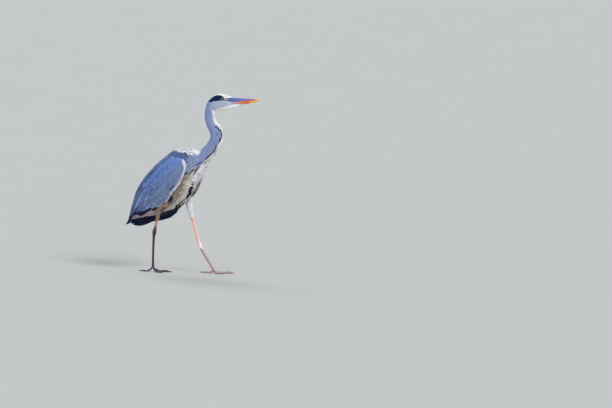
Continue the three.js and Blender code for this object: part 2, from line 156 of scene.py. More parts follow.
trunk_top = profile([(-30, 4), (0, 20), (35, 44), (86, 68), (134, 84), (187, 96), (244, 104), (294, 101),
                     (330, 91), (355, 76), (374, 57), (388, 33), (400, 2)])
trunk_bottom = profile([(-30, -14), (0, -30), (26, -44), (56, -65), (82, -86), (107, -99), (132, -106),
                        (160, -110), (200, -110), (250, -105), (280, -97), (310, -84), (340, -68),
                        (365, -56), (400, -45)])
trunk_half = profile([(-30, 14), (0, 28), (36, 41), (91, 57), (134, 65), (187, 71), (244, 73), (294, 69),
                      (330, 60), (360, 47), (384, 33), (400, 22)])

NECK = [(40, 0, 452, 52, 44), (78, 0, 487, 44, 38), (108, 0, 517, 33, 31), (134, 0, 545, 27.5, 25),
        (153, 0, 573, 26, 23), (166, 0, 602, 28.5, 24), (162, 0, 630, 29.5, 24), (145, 0, 655, 25.5, 22),
        (134, 0, 682, 22.5, 20.5), (134, 0, 708, 24, 20), (140, 0, 736, 23, 19)]

head_top = profile([(-19, 26), (-10, 38), (0, 48), (14, 60), (28, 68), (44, 71.5), (60, 69.5), (76, 64.5),
                    (95, 57)])
head_bottom = profile([(-19, 14), (-10, 2), (0, -4), (14, -6), (28, -6), (44, -5), (62, -3), (80, 2),
                       (95, 7.5), (112, 13.5), (133, 21.5)])
head_half = profile([(-19, 9), (-10, 16.5), (0, 20), (18, 22.5), (38, 22.5), (54, 19.5), (70, 16),
                     (84, 13.2), (95, 11.2), (112, 8.6), (133, 3.2)])

bill_top = profile([(80, 57), (95, 56.6), (112, 55), (140, 53.4), (168, 52.2), (190, 50.8), (205, 49.4),
                    (214, 47.8), (220.2, 45.6)])
bill_mouth = profile([(80, 35), (95, 36.4), (130, 38.6), (168, 41.4), (205, 44), (220.2, 45)])
bill_bottom = profile([(80, 22), (95, 22.5), (115, 23.6), (136, 25.6), (160, 28.6), (187, 32.6),
                       (203, 36.6), (213, 41), (219, 44.4)])
bill_half = profile([(80, 10), (95, 9.6), (120, 8), (150, 6.4), (180, 4.6), (205, 2.8), (214, 1.8),
                     (220.2, 0.7)])

wing_top = profile([(-68, 4), (-40, 19), (0, 44), (35, 65), (86, 87), (134, 98), (187, 103), (230, 104),
                    (262, 99), (290, 84), (314, 60), (330, 40), (338, 24)])
wing_low = {
    "right": profile([(-68, -9), (-40, -12), (-4, -15), (30, -21), (65, -27), (85, -31), (110, -43),
                      (140, -52), (173, -56), (198, -55.5), (247, -53), (276, -44), (298, -31),
                      (318, -17), (330, -2), (338, 14)]),
    "left": profile([(-68, -10), (-50, -22), (-30, -34), (16, -47), (43, -65), (71, -80), (103, -86),
                     (135, -82), (165, -73), (198, -65), (247, -56), (276, -44), (298, -31), (318, -17),
                     (330, -2), (338, 14)]),
}
wing_half = profile([(-68, 11), (-40, 22), (0, 38), (50, 54), (100, 67), (150, 77), (200, 82), (250, 82),
                     (290, 77), (314, 71), (330, 66), (338, 62)])
wing_inner = profile([(-68, 1.2), (187, 3), (230, 12), (262, 26), (290, 42), (314, 52), (338, 57)])

tail_half = profile([(-60, 17), (-46, 22), (0, 23), (60, 18), (110, 13)])

# Stations of each leg: x, y, z, depth radius and width radius.
LEGS = {
    "right": {
        "thigh": [(-19, -46, 372, 34, 22), (-43, -53, 336, 27, 19), (-68, -50, 304, 17.5, 14),
                  (-84.5, -44.5, 280, 12.5, 11), (-95.5, -39.5, 248, 9, 8.5),
                  (-101.5, -36.5, 230, 7.2, 7)],
        "shank": [(-101.5, -36.5, 229.5, 6, 6), (-106.5, -35.5, 211, 5.4, 5.2),
                  (-111, -34.6, 193, 6.4, 5.6), (-114.2, -34, 180, 9.6, 6.8),
                  (-116, -33.6, 169, 8.6, 6.4)],
        "tarsus": [(-116, -33.5, 168.5, 8.2, 6.3), (-118.2, -31.5, 155, 6, 5),
                   (-121, -28.5, 128, 5.3, 4.4), (-123.5, -25.5, 85, 5.1, 4.2),
                   (-125.4, -23, 45, 5.2, 4.4), RIGHT_FOOT + (6.6, 6)],
        "foot": RIGHT_FOOT,
    },
    "left": {
        "thigh": [(-4, 40, 384, 34, 22), (6, 46, 344, 25, 19), (16, 44, 316, 18, 16),
                  (23, 42.5, 288, 15.5, 13.5), (30, 41.5, 258, 11, 10.5), (37.5, 41, 230, 7.4, 7.2)],
        "shank": [(37.5, 41, 229.5, 6.2, 6.2), (45.5, 40.7, 202, 5.3, 5.2), (54.5, 40.4, 172, 5.2, 5.1),
                  (62.5, 40.1, 142, 6.6, 5.8), (68.5, 40, 122.5, 9.6, 6.9),
                  (73.5, 38.5, 113.5, 8.4, 6.4)],
        "tarsus": [(73.8, 38.3, 113, 8.1, 6.3), (80, 34, 103.5, 6.1, 5), (95.5, 27, 81, 5.3, 4.4),
                   (115, 20, 56.5, 5.1, 4.2), (135.5, 12, 30, 5.3, 4.5), LEFT_FOOT + (6.6, 6)],
        "foot": LEFT_FOOT,
    },
}
# Toe name, way it points from straight ahead, length to the claw, claw length, number of joints.
TOES = [("middle", 2, 78, 17, 3), ("inner", -34, 58, 15, 2), ("outer", 36, 66, 14, 4),
        ("hind", 180, 48, 21, 1)]

# Root, mid point and tip of the hanging breast plumes, in the trunk's axes.
PLUMES = [[(368, -47, -9), (318, -76, -12), (253, -109, -9)],
          [(362, -50, -4), (306, -87, -5), (245, -115, -5)],
          [(370, -47, 13), (322, -77, 12), (263, -109, 8)],
          [(352, -52, -20), (306, -80, -22), (266, -103, -19)]]


# ---------------------------------------------------------------- surfaces: (a, b, lift) to points

TRUNK_WAIST = 0.55               # height of the trunk's widest line in its section
TRUNK_ROUND = 0.95               # below 1, sections are fuller than an ellipse
HEAD_ROUND = 2 / 2.1             # the same for the head
CHIN_TUCK = 4                    # how far the chin's plumage reaches up between the mandibles


def trunk(s, angle, lift=0.0):
    """The trunk by s and by an angle that is 0 at its left and a quarter turn at its back."""
    s, angle = np.broadcast_arrays(s, angle)
    top = trunk_top(s) + lift
    bottom = trunk_bottom(s) - lift
    middle = bottom + (top - bottom) * TRUNK_WAIST
    c, n = np.cos(angle), np.sin(angle)
    y = (trunk_half(s) + lift) * power(c, TRUNK_ROUND)
    h = middle + np.where(n > 0, top - middle, middle - bottom) * power(n, TRUNK_ROUND)
    return in_body(s, h, y)


def smooth_line(points):
    """Close samples of a centripetal curve through points: parameter, place and direction."""
    per_span = 40
    given = np.array(points, float)
    p = np.vstack([2 * given[0] - given[1], given, 2 * given[-1] - given[-2]])
    spans = len(given) - 1
    u = np.linspace(0, spans, per_span * spans + 1)
    i = np.minimum(u.astype(int), spans - 1)
    w = (u - i)[:, None]
    p0, p1, p2, p3 = p[i], p[i + 1], p[i + 2], p[i + 3]
    d0, d1, d2 = (np.sqrt(np.linalg.norm(b - a, axis=1, keepdims=True))
                  for a, b in ((p0, p1), (p1, p2), (p2, p3)))
    t1 = ((p1 - p0) / d0 - (p2 - p0) / (d0 + d1) + (p2 - p1) / d1) * d1
    t2 = ((p2 - p1) / d1 - (p3 - p1) / (d1 + d2) + (p3 - p2) / d2) * d1
    place = ((2 * w**3 - 3 * w * w + 1) * p1 + (w**3 - 2 * w * w + w) * t1
             + (3 * w * w - 2 * w**3) * p2 + (w**3 - w * w) * t2)
    return u / spans, place, unit(np.gradient(place, axis=0))


def interpolate(t, at, values):
    """Rows of values, given at places at, as they are at t."""
    return np.stack([np.interp(t, at, values[:, k]) for k in range(3)], -1)


def limb(stations):
    """The surface of a limb along a smooth line, its angle 0 to the left and a quarter turn behind it."""
    st = np.array(stations, float)
    at, place, way = smooth_line(st[:, :3])
    share = np.linspace(0, 1, len(st))
    depth = profile(np.column_stack([share, st[:, 3]]))
    width = profile(np.column_stack([share, st[:, 4]]))

    def surface(t, angle, lift=0.0):
        t, angle = np.broadcast_arrays(t, angle)
        along = interpolate(t, at, way)
        side = unit(np.array([0, 1, 0]) - along * along[..., 1:2])
        up = np.cross(along, side)
        across = ((width(t) + lift) * np.cos(angle))[..., None]
        deep = ((depth(t) + lift) * np.sin(angle))[..., None]
        return interpolate(t, at, place) + side * across + up * deep

    surface.line = place
    surface.way = way
    surface.length = np.linalg.norm(np.diff(place, axis=0), axis=1).sum()
    return surface


def head(x, angle, lift=0.0):
    """The head by x and angle, with the chin's wedge of plumage below the bill."""
    x, angle = np.broadcast_arrays(x, angle)
    top = np.where(x <= BILL_BASE, head_top(x), bill_bottom(x) + CHIN_TUCK) + lift
    bottom = head_bottom(x) - lift
    split = (top + bottom) / 2 + 1
    c, n = np.cos(angle), np.sin(angle)
    y = (head_half(x) + lift) * power(c, HEAD_ROUND)
    z = split + np.where(n > 0, top - split, split - bottom) * power(n, HEAD_ROUND)
    return in_head(x, y, z)


WING_WAIST = 0.42                # height of a wing's widest line in its section
WING_CURL = 0.64                 # the share of q that curls over the back
WING_TAPER = 0.07                # how far the part below the widest line draws in
WING_LEAN = 0.15                 # how far that part faces downwards
WING_PARTING = 0.4               # least distance of a wing from the body's middle plane


def wing(name):
    """The outer face of a folded wing: s along the trunk, q from 0 near the back to 1 at the lower edge."""
    side = SIDES[name]

    def surface(s, q, lift=0.0):
        s, q = np.broadcast_arrays(s, q)
        top, low, half = wing_top(s), wing_low[name](s), wing_half(s)
        inner = np.minimum(wing_inner(s), half * 0.9)
        waist = low + (top - low) * WING_WAIST
        start = np.arccos(np.minimum(1, inner / half))
        angle = start * (1 - np.minimum(q, WING_CURL) / WING_CURL)
        down = np.maximum(q - WING_CURL, 0) / (1 - WING_CURL)
        curled = q < WING_CURL
        y = np.where(curled, half * np.cos(angle), half * (1 - WING_TAPER * down * down))
        lean = np.maximum(np.sin(angle) / np.sin(start), 0) ** 0.95
        h = np.where(curled, waist + (top - waist) * lean, waist - (waist - low) * down)
        ny = np.where(curled, np.cos(angle), 1)
        nh = np.where(curled, np.sin(angle), -WING_LEAN * down)
        return in_body(s, h + nh * lift, side * np.maximum(y + ny * lift, WING_PARTING))

    surface.side = side
    return surface


neck = limb(NECK)
wings = {name: wing(name) for name in SIDES}
limbs = {name: {part: limb(leg[part]) for part in ("thigh", "shank", "tarsus")}
         for name, leg in LEGS.items()}


def toe_line(foot, side, heading, length):
    """Points along a toe from its root to its claw, with the way it points."""
    x, y, z = foot
    turn = math.radians(heading * side)
    away = np.array([math.cos(turn), math.sin(turn), 0])
    land = min(length * 0.5, 8 + z * 1.3)
    places = [(5.6, z - 2.2), (land * 0.55, (z + TOE_FLAT) / 2), (land, TOE_FLAT),
              ((land + length) / 2, TOE_FLAT), (length, TOE_FLAT)]
    return away, [np.array([x, y, 0]) + away * d + np.array([0, 0, up]) for d, up in places]


def toe(foot, side, heading, length, joints):
    """The surface of a toe, thicker at its joints. It has no coat, so a lift leaves it as it is."""
    _, points = toe_line(foot, side, heading, length)
    base = limb([tuple(p) + (1, 1) for p in points])

    def surface(t, angle, lift=0.0):
        radius = TOE_RADIUS * (1.1 - 0.32 * t) + 0.35 * np.cos(TURN * joints * t)
        return base(t, angle, radius - 1)

    return surface


def tail_height(s, y):
    """Height of the tail's middle sheet, which rises forward and droops to both sides."""
    return 2 + (s + 60) * 0.19 - 0.006 * y * y


def tail_plate(s, angle, lift=0.0):
    """The flat core that the tail feathers grow round."""
    s, angle = np.broadcast_arrays(s, angle)
    y = (tail_half(s) - 4 + lift) * np.cos(angle)
    return in_body(s, tail_height(s, y) + (5 + lift) * np.sin(angle), y)


# ---------------------------------------------------------------- meshes

def eye_centre(side):
    return in_head(EYE_AT[0], side * EYE_SIDE, EYE_AT[1])


_low, _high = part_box("eye_right")
SHIFT = np.array((_low + _high) / 2) / MM - eye_centre(-1)


def fetch(items, name, width, kind=np.int32):
    """One property of all vertices, edges, corners or triangles of a mesh, a row for each."""
    values = np.empty(len(items) * width, kind)
    items.foreach_get(name, values)
    return values.reshape(-1, width)


def mesh_points(mesh):
    """A mesh's vertices in millimetres, in the design axes."""
    return fetch(mesh.vertices, "co", 3, np.float32).astype(float) / MM - SHIFT


def set_points(mesh, points):
    """The inverse of mesh_points."""
    mesh.vertices.foreach_set("co", ((points + SHIFT) * MM).astype(np.float32).ravel())


def make_mesh(name, points, *face_sets):
    """A smooth shaded mesh of points and any number of face lists, each with faces of one size."""
    mesh = bpy.data.meshes.new(name)
    loops = np.concatenate([np.asarray(f).ravel() for f in face_sets]).astype(np.int32)
    sizes = np.concatenate([np.full(len(f), np.shape(f)[1]) for f in face_sets]).astype(np.int32)
    mesh.vertices.add(len(points))
    set_points(mesh, points)
    mesh.loops.add(len(loops))
    mesh.loops.foreach_set("vertex_index", loops)
    mesh.polygons.add(len(sizes))
    mesh.polygons.foreach_set("loop_start", np.concatenate([[0], np.cumsum(sizes)[:-1]]).astype(np.int32))
    mesh.polygons.foreach_set("use_smooth", np.ones(len(sizes), bool))
    mesh.update(calc_edges=True)
    mesh.validate()
    return mesh


def add_object(name, mesh):
    piece = bpy.data.objects.new(name, mesh)
    bpy.context.scene.collection.objects.link(piece)
    return piece


def add_piece(name, mesh, material, nodes=()):
    """A visible piece of the bird, with its finish and the solids that it stands for."""
    piece = add_object(name, mesh)
    piece.data.materials.append(material)
    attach(piece, "root")
    if nodes:
        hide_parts(*nodes)


def linear(colour):
    """From 0-255 display values to the renderer's linear ones."""
    c = np.clip(np.asarray(colour, float) / 255, 0, 1)
    return np.where(c <= 0.04045, c / 12.92, ((c + 0.055) / 1.055) ** 2.4)


def set_colour(mesh, colours):
    """Stores one display colour for each vertex."""
    attribute = mesh.attributes.new("tint", "FLOAT_COLOR", "POINT")
    values = np.concatenate([linear(colours), np.ones((len(colours), 1))], 1)
    attribute.data.foreach_set("color", values.astype(np.float32).ravel())


def set_vector(mesh, name, values):
    attribute = mesh.attributes.new(name, "FLOAT_VECTOR", "POINT")
    attribute.data.foreach_set("vector", np.asarray(values, np.float32).ravel())


def ring_faces(rings, count, looped=False):
    """Quads between closed rings of equal count; looped joins the last ring to the first."""
    start = np.arange(rings if looped else rings - 1)[:, None] * count
    beyond = (start + count) % (rings * count)
    k = np.arange(count)
    after = (k + 1) % count
    return np.stack([start + k, start + after, beyond + after, beyond + k], -1).reshape(-1, 4)


def end_faces(rings, count, base, first, last):
    """Triangles from the first ring to vertex first, and from the last to vertex last.

    base is the number of the rings' own first vertex.
    """
    k = base + np.arange(count)
    after = base + (np.arange(count) + 1) % count
    end = (rings - 1) * count
    return np.vstack([np.stack([np.full(count, first), after, k], -1),
                      np.stack([np.full(count, last), end + k, end + after], -1)])


def capped(rings, ends=None):
    """Points, quads and end triangles of a tube through rings, closed at their middles or at given ends."""
    stations, count = rings.shape[:2]
    first, last = ends or (rings[0].mean(0), rings[-1].mean(0))
    points = np.vstack([rings.reshape(-1, 3), first, last])
    return (points, ring_faces(stations, count),
            end_faces(stations, count, 0, len(points) - 2, len(points) - 1))


def tube(surface, stations, count, lift=0.0):
    """A closed tube over a surface, raised by a lift that may be a function of the station."""
    angles = np.arange(count) * TURN / count
    a, b = np.meshgrid(np.asarray(stations, float), angles, indexing="ij")
    return capped(surface(a, b, lift(a) if callable(lift) else lift))


def wing_core(name):
    """A closed sheet under the wing's feathers: the arm and the roots of its quills."""
    s, q = np.meshgrid(np.linspace(-30, 330, 61), np.linspace(0.03, 0.95, 24), indexing="ij")
    near_end = smooth(s, -40, 40)
    outside = wings[name](s, q, -3 - 4 * near_end)
    inside = wings[name](s, q, -6 - 8 * near_end)[:, ::-1]
    return capped(np.concatenate([outside, inside], 1))


def fuse(parts, voxel, rounds):
    """One closed mesh round all parts, with its creases softened."""
    points, quads, caps, start = [], [], [], 0
    for p, q, c in parts:
        points.append(p)
        quads.append(q + start)
        caps.append(c + start)
        start += len(p)
    source = add_object("fuse", make_mesh("fuse", np.vstack(points), np.vstack(quads), np.vstack(caps)))
    remesh = source.modifiers.new("remesh", "REMESH")
    remesh.mode = "VOXEL"
    remesh.voxel_size = voxel * MM
    graph = bpy.context.evaluated_depsgraph_get()
    mesh = bpy.data.meshes.new_from_object(source.evaluated_get(graph))
    bpy.data.objects.remove(source)
    relax(mesh, rounds)
    return mesh


def relax(mesh, rounds):
    """Softens a mesh without shrinking it: a smoothing step, then a smaller one outwards."""
    a, b = fetch(mesh.edges, "vertices", 2).T
    points = mesh_points(mesh)
    count = np.bincount(a, minlength=len(points)) + np.bincount(b, minlength=len(points))
    for step in [0.5, -0.52] * rounds:
        total = np.stack([np.bincount(a, points[b, k], len(points))
                          + np.bincount(b, points[a, k], len(points)) for k in range(3)], -1)
        points += step * (total / np.maximum(count, 1)[:, None] - points)
    set_points(mesh, points)
    mesh.update()


def body_parts(trunk_lift, neck_lift, head_lift, thigh_lift):
    """Closed tubes of all the flesh above the shanks; a lift below 0 sets a tube inside its outline."""
    parts = [
        tube(trunk, np.linspace(-30, 400, 90), 72, trunk_lift),
        tube(tail_plate, np.linspace(-50, 80, 40), 36, trunk_lift),
        tube(neck, np.linspace(0, 1, 110), 56, neck_lift),
        tube(head, np.concatenate([np.linspace(-19, 10, 14), np.linspace(12, 133, 60)]), 56, head_lift),
    ]
    for leg in limbs.values():
        parts.append(tube(leg["thigh"], np.linspace(0, 1, 50), 36, thigh_lift))
    return parts


def lower_leg_parts():
    """Closed tubes of both shanks, tarsi and all toes, flat where they meet the floor."""
    parts = []
    for name, leg in LEGS.items():
        side = SIDES[name]
        parts.append(tube(limbs[name]["shank"], np.linspace(0, 1, 40), 28))
        parts.append(tube(limbs[name]["tarsus"], np.linspace(0, 1, 90), 28))
        for _, heading, length, _, joints in TOES:
            points, quads, caps = tube(toe(leg["foot"], side, heading, length, joints),
                                       np.linspace(0, 1, 60), 24)
            points[:, 2] = np.maximum(points[:, 2], 0)
            parts.append((points, quads, caps))
    return parts


class Envelope:
    """The outer surface of the coat on the body, to which vanes are fitted."""

    def __init__(self, mesh):
        self.points = mesh_points(mesh)
        mesh.calc_loop_triangles()
        self.tris = fetch(mesh.loop_triangles, "vertices", 3)
        corner = self.points[self.tris]
        face = np.cross(corner[:, 1] - corner[:, 0], corner[:, 2] - corner[:, 0])
        normal = np.zeros_like(self.points)
        for k in range(3):
            np.add.at(normal, self.tris[:, k], face)
        self.normals = unit(normal)
        self.tree = BVHTree.FromPolygons(self.points.tolist(), self.tris.tolist())

    def nearest(self, places):
        """Foot points on the surface, smooth normals there, and distances."""
        flat = places.reshape(-1, 3)
        found = [self.tree.find_nearest(p) for p in flat.tolist()]
        foot = np.array([f[0] for f in found])
        index = np.array([f[2] for f in found])
        away = np.array([f[3] for f in found])
        a, b, c = (self.points[self.tris[index, k]] for k in range(3))
        whole = np.linalg.norm(np.cross(b - a, c - a), axis=1)
        weights = [np.linalg.norm(np.cross(q - foot, r - foot), axis=1) / np.maximum(whole, TINY)
                   for q, r in ((b, c), (c, a), (a, b))]
        normal = sum(w[:, None] * self.normals[self.tris[index, k]] for k, w in enumerate(weights))
        shape = places.shape
        return foot.reshape(shape), unit(normal).reshape(shape), away.reshape(shape[:-1])


# ---------------------------------------------------------------- vanes

class Form:
    """A closed, lens-shaped vane of unit length: x along it, y across from -1 to 1, z for its thickness."""

    def __init__(self, stations, across, shoulder=0.55, rise=0.3, end=2.0):
        x = np.array(stations, float)
        grow = np.clip(x / rise, 0, 1) ** 0.6
        fall = (1 - np.clip((x - shoulder) / (1 - shoulder), 0, 1) ** end) ** (1 / end)
        width = grow * fall
        over = np.linspace(-1, 1, across + 1)
        y = np.concatenate([over, over[-2:0:-1]])
        upper = np.concatenate([np.ones(across + 1), np.zeros(across - 1)])
        count = len(y)
        arch = 1 - y * y
        ridge = np.exp(-(y / 0.12) ** 2) * upper * (across > 2)
        z = (arch * (0.35 + 0.65 * upper) + 0.5 * ridge)[None, :] * np.minimum(1, 0.3 + width)[:, None]
        self.x = np.concatenate([[0], np.repeat(x, count), [1]])
        self.y = np.concatenate([[0], (width[:, None] * y).ravel(), [0]])
        self.rank = np.concatenate([[0], np.tile(y, len(x)), [0]])
        self.z = np.concatenate([[0], z.ravel(), [0]])
        self.size = len(self.x)
        self.quads = ring_faces(len(x), count) + 1
        self.tris = end_faces(len(x), count, 1, 0, self.size - 1)


TUFT = Form([0.2, 0.62, 0.9], 2)
CONTOUR = Form([0.1, 0.35, 0.65, 0.86, 0.97], 2)
COVERT = Form([0.06, 0.25, 0.5, 0.72, 0.87, 0.96], 4, shoulder=0.6)
QUILL = Form([0.03, 0.15, 0.32, 0.5, 0.66, 0.8, 0.9, 0.96, 0.99], 4, shoulder=0.78, rise=0.15)
LANCE = Form([0.05, 0.18, 0.36, 0.54, 0.7, 0.84, 0.94], 2, shoulder=0.3, rise=0.2, end=1.25)


PATCH = 0.003                    # width of a vane's patch on the unwrap
PLANTED = []                     # roots of the body's vanes, with the colour seen there


class Coat:
    """One piece of plumage: batches of vanes that are joined in one mesh."""

    def __init__(self, name):
        self.name = name
        self.batches = []

    def add(self, form, points, tint, place, length, width):
        """points and tint hold each vane's vertices and their colours, place its root on the unwrap."""
        self.batches.append((form, points, tint, place, length, width))

    def make(self, material, nodes=()):
        points, tints, quads, tris, patches, vanes, start = [], [], [], [], [], [], 0
        for form, p, tint, place, length, width in self.batches:
            count = len(p)
            offset = start + np.arange(count)[:, None, None] * form.size
            quads.append((form.quads[None] + offset).reshape(-1, 4))
            tris.append((form.tris[None] + offset).reshape(-1, 3))
            points.append(p.reshape(-1, 3))
            tints.append(tint.reshape(-1, 3))
            spread = np.stack([(form.x - 0.5), form.rank * 0.5], -1) * PATCH
            patches.append((place[:, None] + spread[None]).reshape(-1, 2))
            along = form.x[None] * length[:, None]
            across = form.y[None] * width[:, None] / 2
            chance = np.broadcast_to(rng.random(count)[:, None], along.shape)
            vanes.append(np.stack([along, across, chance], -1).reshape(-1, 3))
            start += count * form.size
        mesh = make_mesh(self.name, np.vstack(points), np.vstack(quads), np.vstack(tris))
        set_colour(mesh, np.vstack(tints))
        set_vector(mesh, "vane", np.vstack(vanes))
        index = fetch(mesh.loops, "vertex_index", 1)[:, 0]
        layer = mesh.uv_layers.new(name="OFBake")
        layer.data.foreach_set("uv", np.vstack(patches)[index].astype(np.float32).ravel())
        add_piece(self.name, mesh, material, nodes)


def scatter(surface, low, high, along, across, per_mm):
    """Roots in staggered rows over a closed surface, as its first parameter and its angle.

    Rows are along millimetres apart and roots about across apart in their row. per_mm is how far the
    surface's first parameter goes in a millimetre.
    """
    wobble = 0.3
    rows = np.arange(low, high, per_mm * along)
    dense = np.linspace(0, TURN, 181)
    found_a, found_b = [], []
    for number, a in enumerate(rows):
        ring = surface(np.full_like(dense, a), dense)
        run = np.concatenate([[0], np.cumsum(np.linalg.norm(np.diff(ring, axis=0), axis=1))])
        count = max(3, int(round(run[-1] / across)))
        at = (np.arange(count) + 0.5 * (number % 2) + wobble * rng.uniform(-1, 1, count)) / count
        found_b.append(np.interp((at % 1) * run[-1], run, dense))
        found_a.append(a + wobble * per_mm * along * rng.uniform(-1, 1, count))
    return np.concatenate(found_a), np.concatenate(found_b)


def drape(cover, form, roots, ways, length, width, depth, tip, thickness, curl=0.0):
    """Vanes laid on the envelope: each leaves the skin at its root and reaches the coat's top at its tip."""
    foot, normal, _ = cover.nearest(roots)
    way = unit(ways - normal * (ways * normal).sum(-1, keepdims=True))
    side = np.cross(normal, way)
    reach = (form.x[None] * length[:, None])[..., None]
    spread = (form.y[None] * width[:, None] / 2)[..., None]
    flat = foot[:, None] + way[:, None] * reach + side[:, None] * spread
    base, up, _ = cover.nearest(flat)
    lift = (-depth[:, None] * (1 - form.x[None]) ** 1.3 + tip[:, None] * form.x[None]
            - curl * smooth(form.x, 0.75, 1)[None] + form.z[None] * thickness)
    return base + up * lift[..., None]


def follow(points, guides, sharpness=2.0):
    """The lie of the feathers: the direction of nearby guide lines."""
    place = np.vstack([g[0] for g in guides])
    way = np.vstack([g[1] for g in guides])
    batch, softness = 2000, 25
    lie = np.empty_like(points)
    for start in range(0, len(points), batch):
        part = points[start:start + batch]
        away = ((part[:, None] - place[None]) ** 2).sum(-1) + softness
        weight = away ** -sharpness
        lie[start:start + batch] = (weight[..., None] * way[None]).sum(1)
    return unit(lie)


def turned(ways, roots, amount):
    """Each way turned a little to a random side, about a line from the middle of all roots."""
    angle = amount * rng.standard_normal(len(ways))
    side = unit(np.cross(ways, roots - roots.mean(0)))
    return unit(ways + side * np.tan(angle)[:, None])


def shade(base, form, edge=0.0, shaft=0.0, tip=0.0, root=0.0, spread=0.05):
    """Colours of vanes: base with its own tone, and a paler or darker edge, shaft, tip and root."""
    tone = around(1, spread, (len(base), 1))
    across = np.abs(form.rank)
    change = (edge * smooth(across, 0.55, 1) + shaft * (1 - smooth(across, 0, 0.3))
              + tip * smooth(form.x, 0.72, 1) + root * (1 - smooth(form.x, 0, 0.5)))
    lit = (base * tone)[:, None] * (1 + np.minimum(change, 0))[None, :, None]
    return np.clip(lit + (255 - lit) * np.maximum(change, 0)[None, :, None], 0, 255)


# ---------------------------------------------------------------- markings

def rgb(*levels):
    """A display colour, each channel from 0 to 255."""
    return np.array(levels, float)


WHITE = rgb(250, 250, 252)
CROWN_BLACK = rgb(12, 34, 84)
CHEEK = rgb(188, 200, 226)
NECK_GREY = rgb(150, 168, 218)
NECK_LOW = rgb(146, 160, 210)
SHOULDER_GREY = rgb(148, 162, 202)
BREAST_GREY = rgb(172, 180, 204)
SLATE = rgb(84, 108, 158)
WING_BLUE = rgb(101, 133, 200)
WING_GREY = rgb(112, 130, 170)
WING_DARK = rgb(58, 80, 132)
WING_PALE = rgb(170, 182, 212)
WING_RIM = rgb(196, 197, 209)
BLACK = rgb(13, 15, 28)
PRIMARY_BLACK = rgb(18, 26, 62)
TAIL_BLUE = rgb(66, 82, 132)
# Painted shade: pale grey flank feathers painted a warm buff grey, as they look in shade lit from the ground
# below.
FLANK_IN_SHADE = rgb(152, 141, 128)
FLANK_PALE = rgb(200, 194, 184)
BELLY = rgb(222, 218, 214)
CREAM = rgb(216, 209, 200)
# Painted shade: white feathers under the rear of the body painted pinkish grey, as they look in shade.
VENT_IN_SHADE = rgb(196, 180, 190)
# Painted light: the near thigh's whitish grey feathers painted tan, as they look where warm light falls.
THIGH_NEAR_LIT = rgb(176, 148, 118)
THIGH_SHADE = rgb(78, 68, 72)
# Painted shade: the vent's colour darkened, for the shaded rear of the near thigh.
THIGH_REAR_SHADE = VENT_IN_SHADE * 0.72
THIGH_FAR = rgb(232, 236, 244)
TIBIA_NEAR = rgb(160, 126, 98)
TIBIA_FAR = rgb(228, 172, 160)
# Painted shade: the near leg's bare skin darkened, as it looks in shade.
SHANK_NEAR_SHADE = rgb(66, 52, 64)
SHANK_FAR = rgb(160, 132, 138)
# Painted highlight: a pale band round the far leg's hock.
HOCK_FAR_HIGHLIGHT = rgb(226, 208, 210)
LORE = rgb(150, 168, 132)
LORE_LINE = rgb(44, 56, 98)
BILL_BLUE = rgb(100, 112, 176)
BILL_LILAC = rgb(134, 98, 160)
# Painted highlight: the pale colour along the top of the bill's ridge.
BILL_RIDGE_HIGHLIGHT = rgb(176, 186, 206)
BILL_CORAL = rgb(214, 92, 70)
BILL_ORANGE = rgb(236, 160, 60)
BILL_PALE_TIP = rgb(238, 190, 110)
MANDIBLE_BASE = rgb(166, 152, 164)
MANDIBLE_PINK = rgb(204, 132, 116)
MANDIBLE_RED = rgb(222, 92, 58)
MANDIBLE_YELLOW = rgb(246, 168, 20)
LID_GREY = rgb(96, 108, 120)
CLAW_BROWN = rgb(52, 46, 46)
PLUME_WHITE = rgb(240, 238, 242)


def mix(a, b, share):
    """From colour a to colour b, by a share for each point."""
    return a + (b - a) * np.asarray(share)[..., None]


# Half width of the white along the crown, lower edge of the black, and top of the white throat.
crown_white = profile([(-10, 0), (4, 0.5), (14, 6), (26, 9.5), (42, 11), (58, 12.5), (70, 15)])
black_low = profile([(-9, 60), (-4, 35), (4, 34), (20, 39.5), (44, 42), (56, 46), (66, 53)])
throat_white = profile([(-19, -8), (20, -4), (28, 2), (36, 7), (50, 11), (69, 16), (88, 20), (110, 26),
                        (133, 34)])
# Upper and lower edges of the bare lore.
lore_top = profile([(52, 50), (62, 51.5), (95, 55)])
lore_bottom = profile([(52, 43), (62, 42.5), (95, 37)])


def head_colours(points):
    """White forehead and crown centre, a black band over each eye, grey cheeks and a white throat."""
    x, y, z = head_place(points)
    colour = mix(CHEEK, NECK_GREY, 1 - smooth(x - 0.25 * z, -18, 14))
    colour = mix(colour, BELLY, 0.5 * smooth(throat_white(x) + 7 - z, 0, 6) * smooth(x, 20, 60))
    colour = mix(colour, WHITE, smooth(throat_white(x) - z, -3, 2))
    colour = mix(colour, WHITE, smooth(x, 62, 67) * smooth(z, 49, 52))
    crown = (z > black_low(x)) & (x < 68)
    colour = np.where(crown[:, None], CROWN_BLACK, colour)
    centre = (np.abs(y) < crown_white(x)) & (z > 40) & (x > 2)
    return np.where(centre[:, None], WHITE, colour)


def from_front(angle):
    """How far an angle is from the front, the throat and belly side, in degrees."""
    return np.degrees(np.abs((angle - FRONT + math.pi) % TURN - math.pi))


# Degrees from the front within which the neck is white, and beyond which its nape is painted white as a
# highlight.
neck_white = profile([(0, 54), (0.2, 50), (0.26, 46), (0.3, 36), (0.36, 38), (0.4, 43), (0.47, 36),
                      (0.54, 30), (0.6, 34), (0.66, 44), (0.7, 44), (0.78, 38), (0.87, 40), (0.93, 52),
                      (1, 74)])
nape_highlight = profile([(0, 154), (0.1, 150), (0.14, 142), (0.17, 130), (0.2, 122), (0.23, 150), (0.25, 190)])
# How far down from the ridge of the back the shoulders are painted white as a highlight, in degrees.
shoulder_highlight = profile([(318, 0), (324, 24), (334, 37), (348, 48), (366, 62), (378, 74), (390, 64),
                          (400, 44)])
# Degrees from the front above which the back's slate grey begins.
slate_low = profile([(250, 100), (300, 97), (322, 90), (340, 80), (356, 84), (372, 100)])

